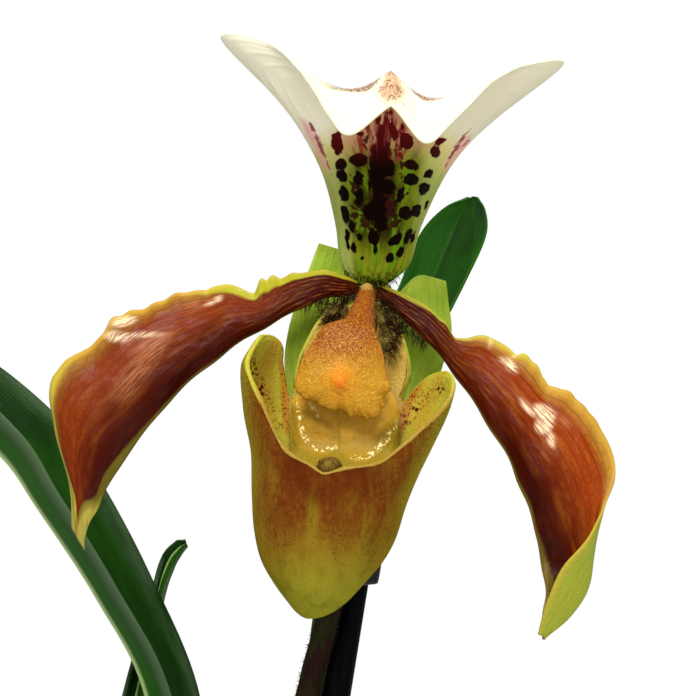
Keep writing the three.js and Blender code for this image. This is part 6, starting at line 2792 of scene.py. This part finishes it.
        chips = []
        while len(chips) < self.chip_count:
            angle = 2 * np.pi * draw()
            reach = 13 + 30 * np.sqrt(draw())
            x, y = reach * np.cos(angle), reach * np.sin(angle)
            size = [7 + 6 * draw(), 5 + 4 * draw(), 2.6 + 1.6 * draw()]
            tilt = [0.35 * (draw() - 0.5), 0.35 * (draw() - 0.5), np.pi * draw()]
            if np.hypot(x - YOUNG[0], y - YOUNG[1]) >= 13:
                chips.append(self.chip(size, tilt, (x, y, self.bark_top + 0.9), 1.7 * len(chips)))
        rng = np.random.default_rng(17)
        for k in range(110):
            angle, reach = 2 * np.pi * rng.random(), 46 * np.sqrt(rng.random())
            x, y = reach * np.cos(angle), reach * np.sin(angle)
            clear = np.hypot(x, y) > 11 and np.hypot(x - YOUNG[0], y - YOUNG[1]) > 7
            if clear:
                size = rng.uniform((2.6, 2.0, 1.2), (5.2, 3.6, 2.2))
                tilt = rng.uniform((-0.6, -0.6, 0), (0.6, 0.6, 3.1))
                chips.append(self.chip(size, tilt, (x, y, self.bark_top + 0.3), 90 + 1.3 * k))
        obj = joined([bed, *chips])
        smooth(obj, 40)
        dress(obj, [BarkFinish().make()], ["bark"])

    def stock(self) -> None:
        """The crown, the young growth's foot, the rhizome between them and the roots."""
        crown = turned("crown", self.crown, 64, 3)
        bud = turned("bud", self.bud, 48, 3)
        points = points_of(bud)
        set_points(bud, points + np.array([YOUNG[0], YOUNG[1], 0]) * MM)
        rhizome = rod("rhizome", np.array(self.rhizome, float), self.rhizome_radii, 28, 60)
        parts = [crown, bud, rhizome]
        for k, path in enumerate(self.roots):
            parts.append(rod(f"root_{k}", np.array(path, float), self.root_radii, 28, 90))
        for part in parts:
            p = points_of(part) / MM
            rough = np.stack([ripples(p, 2.2, s) for s in (0.0, 3.0, 6.0)], axis=1)
            set_points(part, place(p + 0.18 * rough))
        obj = joined(parts)
        obj.name = obj.data.name = "crown_roots"
        smooth(obj, 50)
        dress(obj, [RootFinish().make("root_skin")], ["crown_and_roots"])


# The portrait


@dataclass
class Studio:
    """A white room with soft lights, a pale floor and the portrait's camera."""

    lens: float = 221.7
    sensor: float = 36.0
    lights: tuple = (
        # name, place and target in metres, size, watts
        ("key", (-0.12, -0.45, 0.69), (0.0, -0.03, 0.21), 0.22, 4.6),
        ("glint", (0.09, -0.56, 0.58), (0.02, -0.03, 0.21), 0.10, 1.2),
        ("fill", (0.50, -0.60, 0.26), (0.02, -0.02, 0.21), 0.50, 1.2),
        ("top", (0.12, 0.16, 0.78), (0.0, 0.0, 0.20), 0.35, 2.6),
    )

    def build(self) -> None:
        """Makes the floor, the world, the lights and the camera."""
        self.floor()
        self.world()
        for name, at, target, size, watts in self.lights:
            self.light(name, at, target, size, watts)
        self.camera()

    def floor(self) -> None:
        """A plain pale floor under the pot."""
        obj, u, v = grid("floor", 8, 8)
        set_points(obj, np.stack([(u - 0.5) * 2.6, v * 1.3, np.zeros(len(u))], axis=1))
        finish = Finish("floor_paint", 0.8)
        grain = finish.cloud(finish.solid(), 3, 2)
        obj.data.materials.append(finish.done(finish.mix(grain, srgb(236, 236, 234), srgb(242, 242, 240))))

    def world(self) -> None:
        """A white background that lights the plant softly."""
        world = bpy.data.worlds.new("white_room")
        bpy.context.scene.world = world
        world.use_nodes = True
        tree = world.node_tree
        back = tree.nodes["Background"]
        back.inputs["Color"].default_value = (1, 1, 1, 1)
        path = tree.nodes.new("ShaderNodeLightPath")
        level = tree.nodes.new("ShaderNodeMapRange")
        level.inputs["To Min"].default_value = 0.36
        level.inputs["To Max"].default_value = 1.0
        tree.links.new(path.outputs["Is Camera Ray"], level.inputs["Value"])
        tree.links.new(level.outputs["Result"], back.inputs["Strength"])

    def light(self, name: str, at: Sequence[float], target: Sequence[float], size: float,
              watts: float) -> None:
        """Adds one soft square light that points at a target.

        Args:
            name: its name.
            at: its place in metres.
            target: the point.
            size: its side in metres.
            watts: its strength.
        """
        data = bpy.data.lights.new(name, "AREA")
        data.size = size
        data.energy = watts
        obj = bpy.data.objects.new(name, data)
        obj.location = at
        obj.rotation_euler = (Vector(target) - Vector(at)).to_track_quat("-Z", "Y").to_euler()
        bpy.context.collection.objects.link(obj)

    def camera(self) -> None:
        """The level camera in front of the flower."""
        data = bpy.data.cameras.new("portrait")
        data.lens = self.lens
        data.sensor_width = self.sensor
        data.clip_start = 0.01
        obj = bpy.data.objects.new("portrait", data)
        obj.location = (VIEW_AIM[0] * MM, (VIEW_AIM[1] - VIEW_DISTANCE) * MM, VIEW_AIM[2] * MM)
        obj.rotation_euler = (np.radians(90), 0, 0)
        bpy.context.collection.objects.link(obj)
        bpy.context.scene.camera = obj
        bpy.context.scene.view_settings.view_transform = "Standard"


def main() -> None:
    """Builds every part of the plant in order."""
    logging.basicConfig(level=logging.INFO, format="%(name)s: %(message)s")
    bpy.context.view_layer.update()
    Studio().build()
    Flower().build()
    Stem().build()
    Foliage().build()
    Pot().build()


if __name__ == "__main__":
    main()
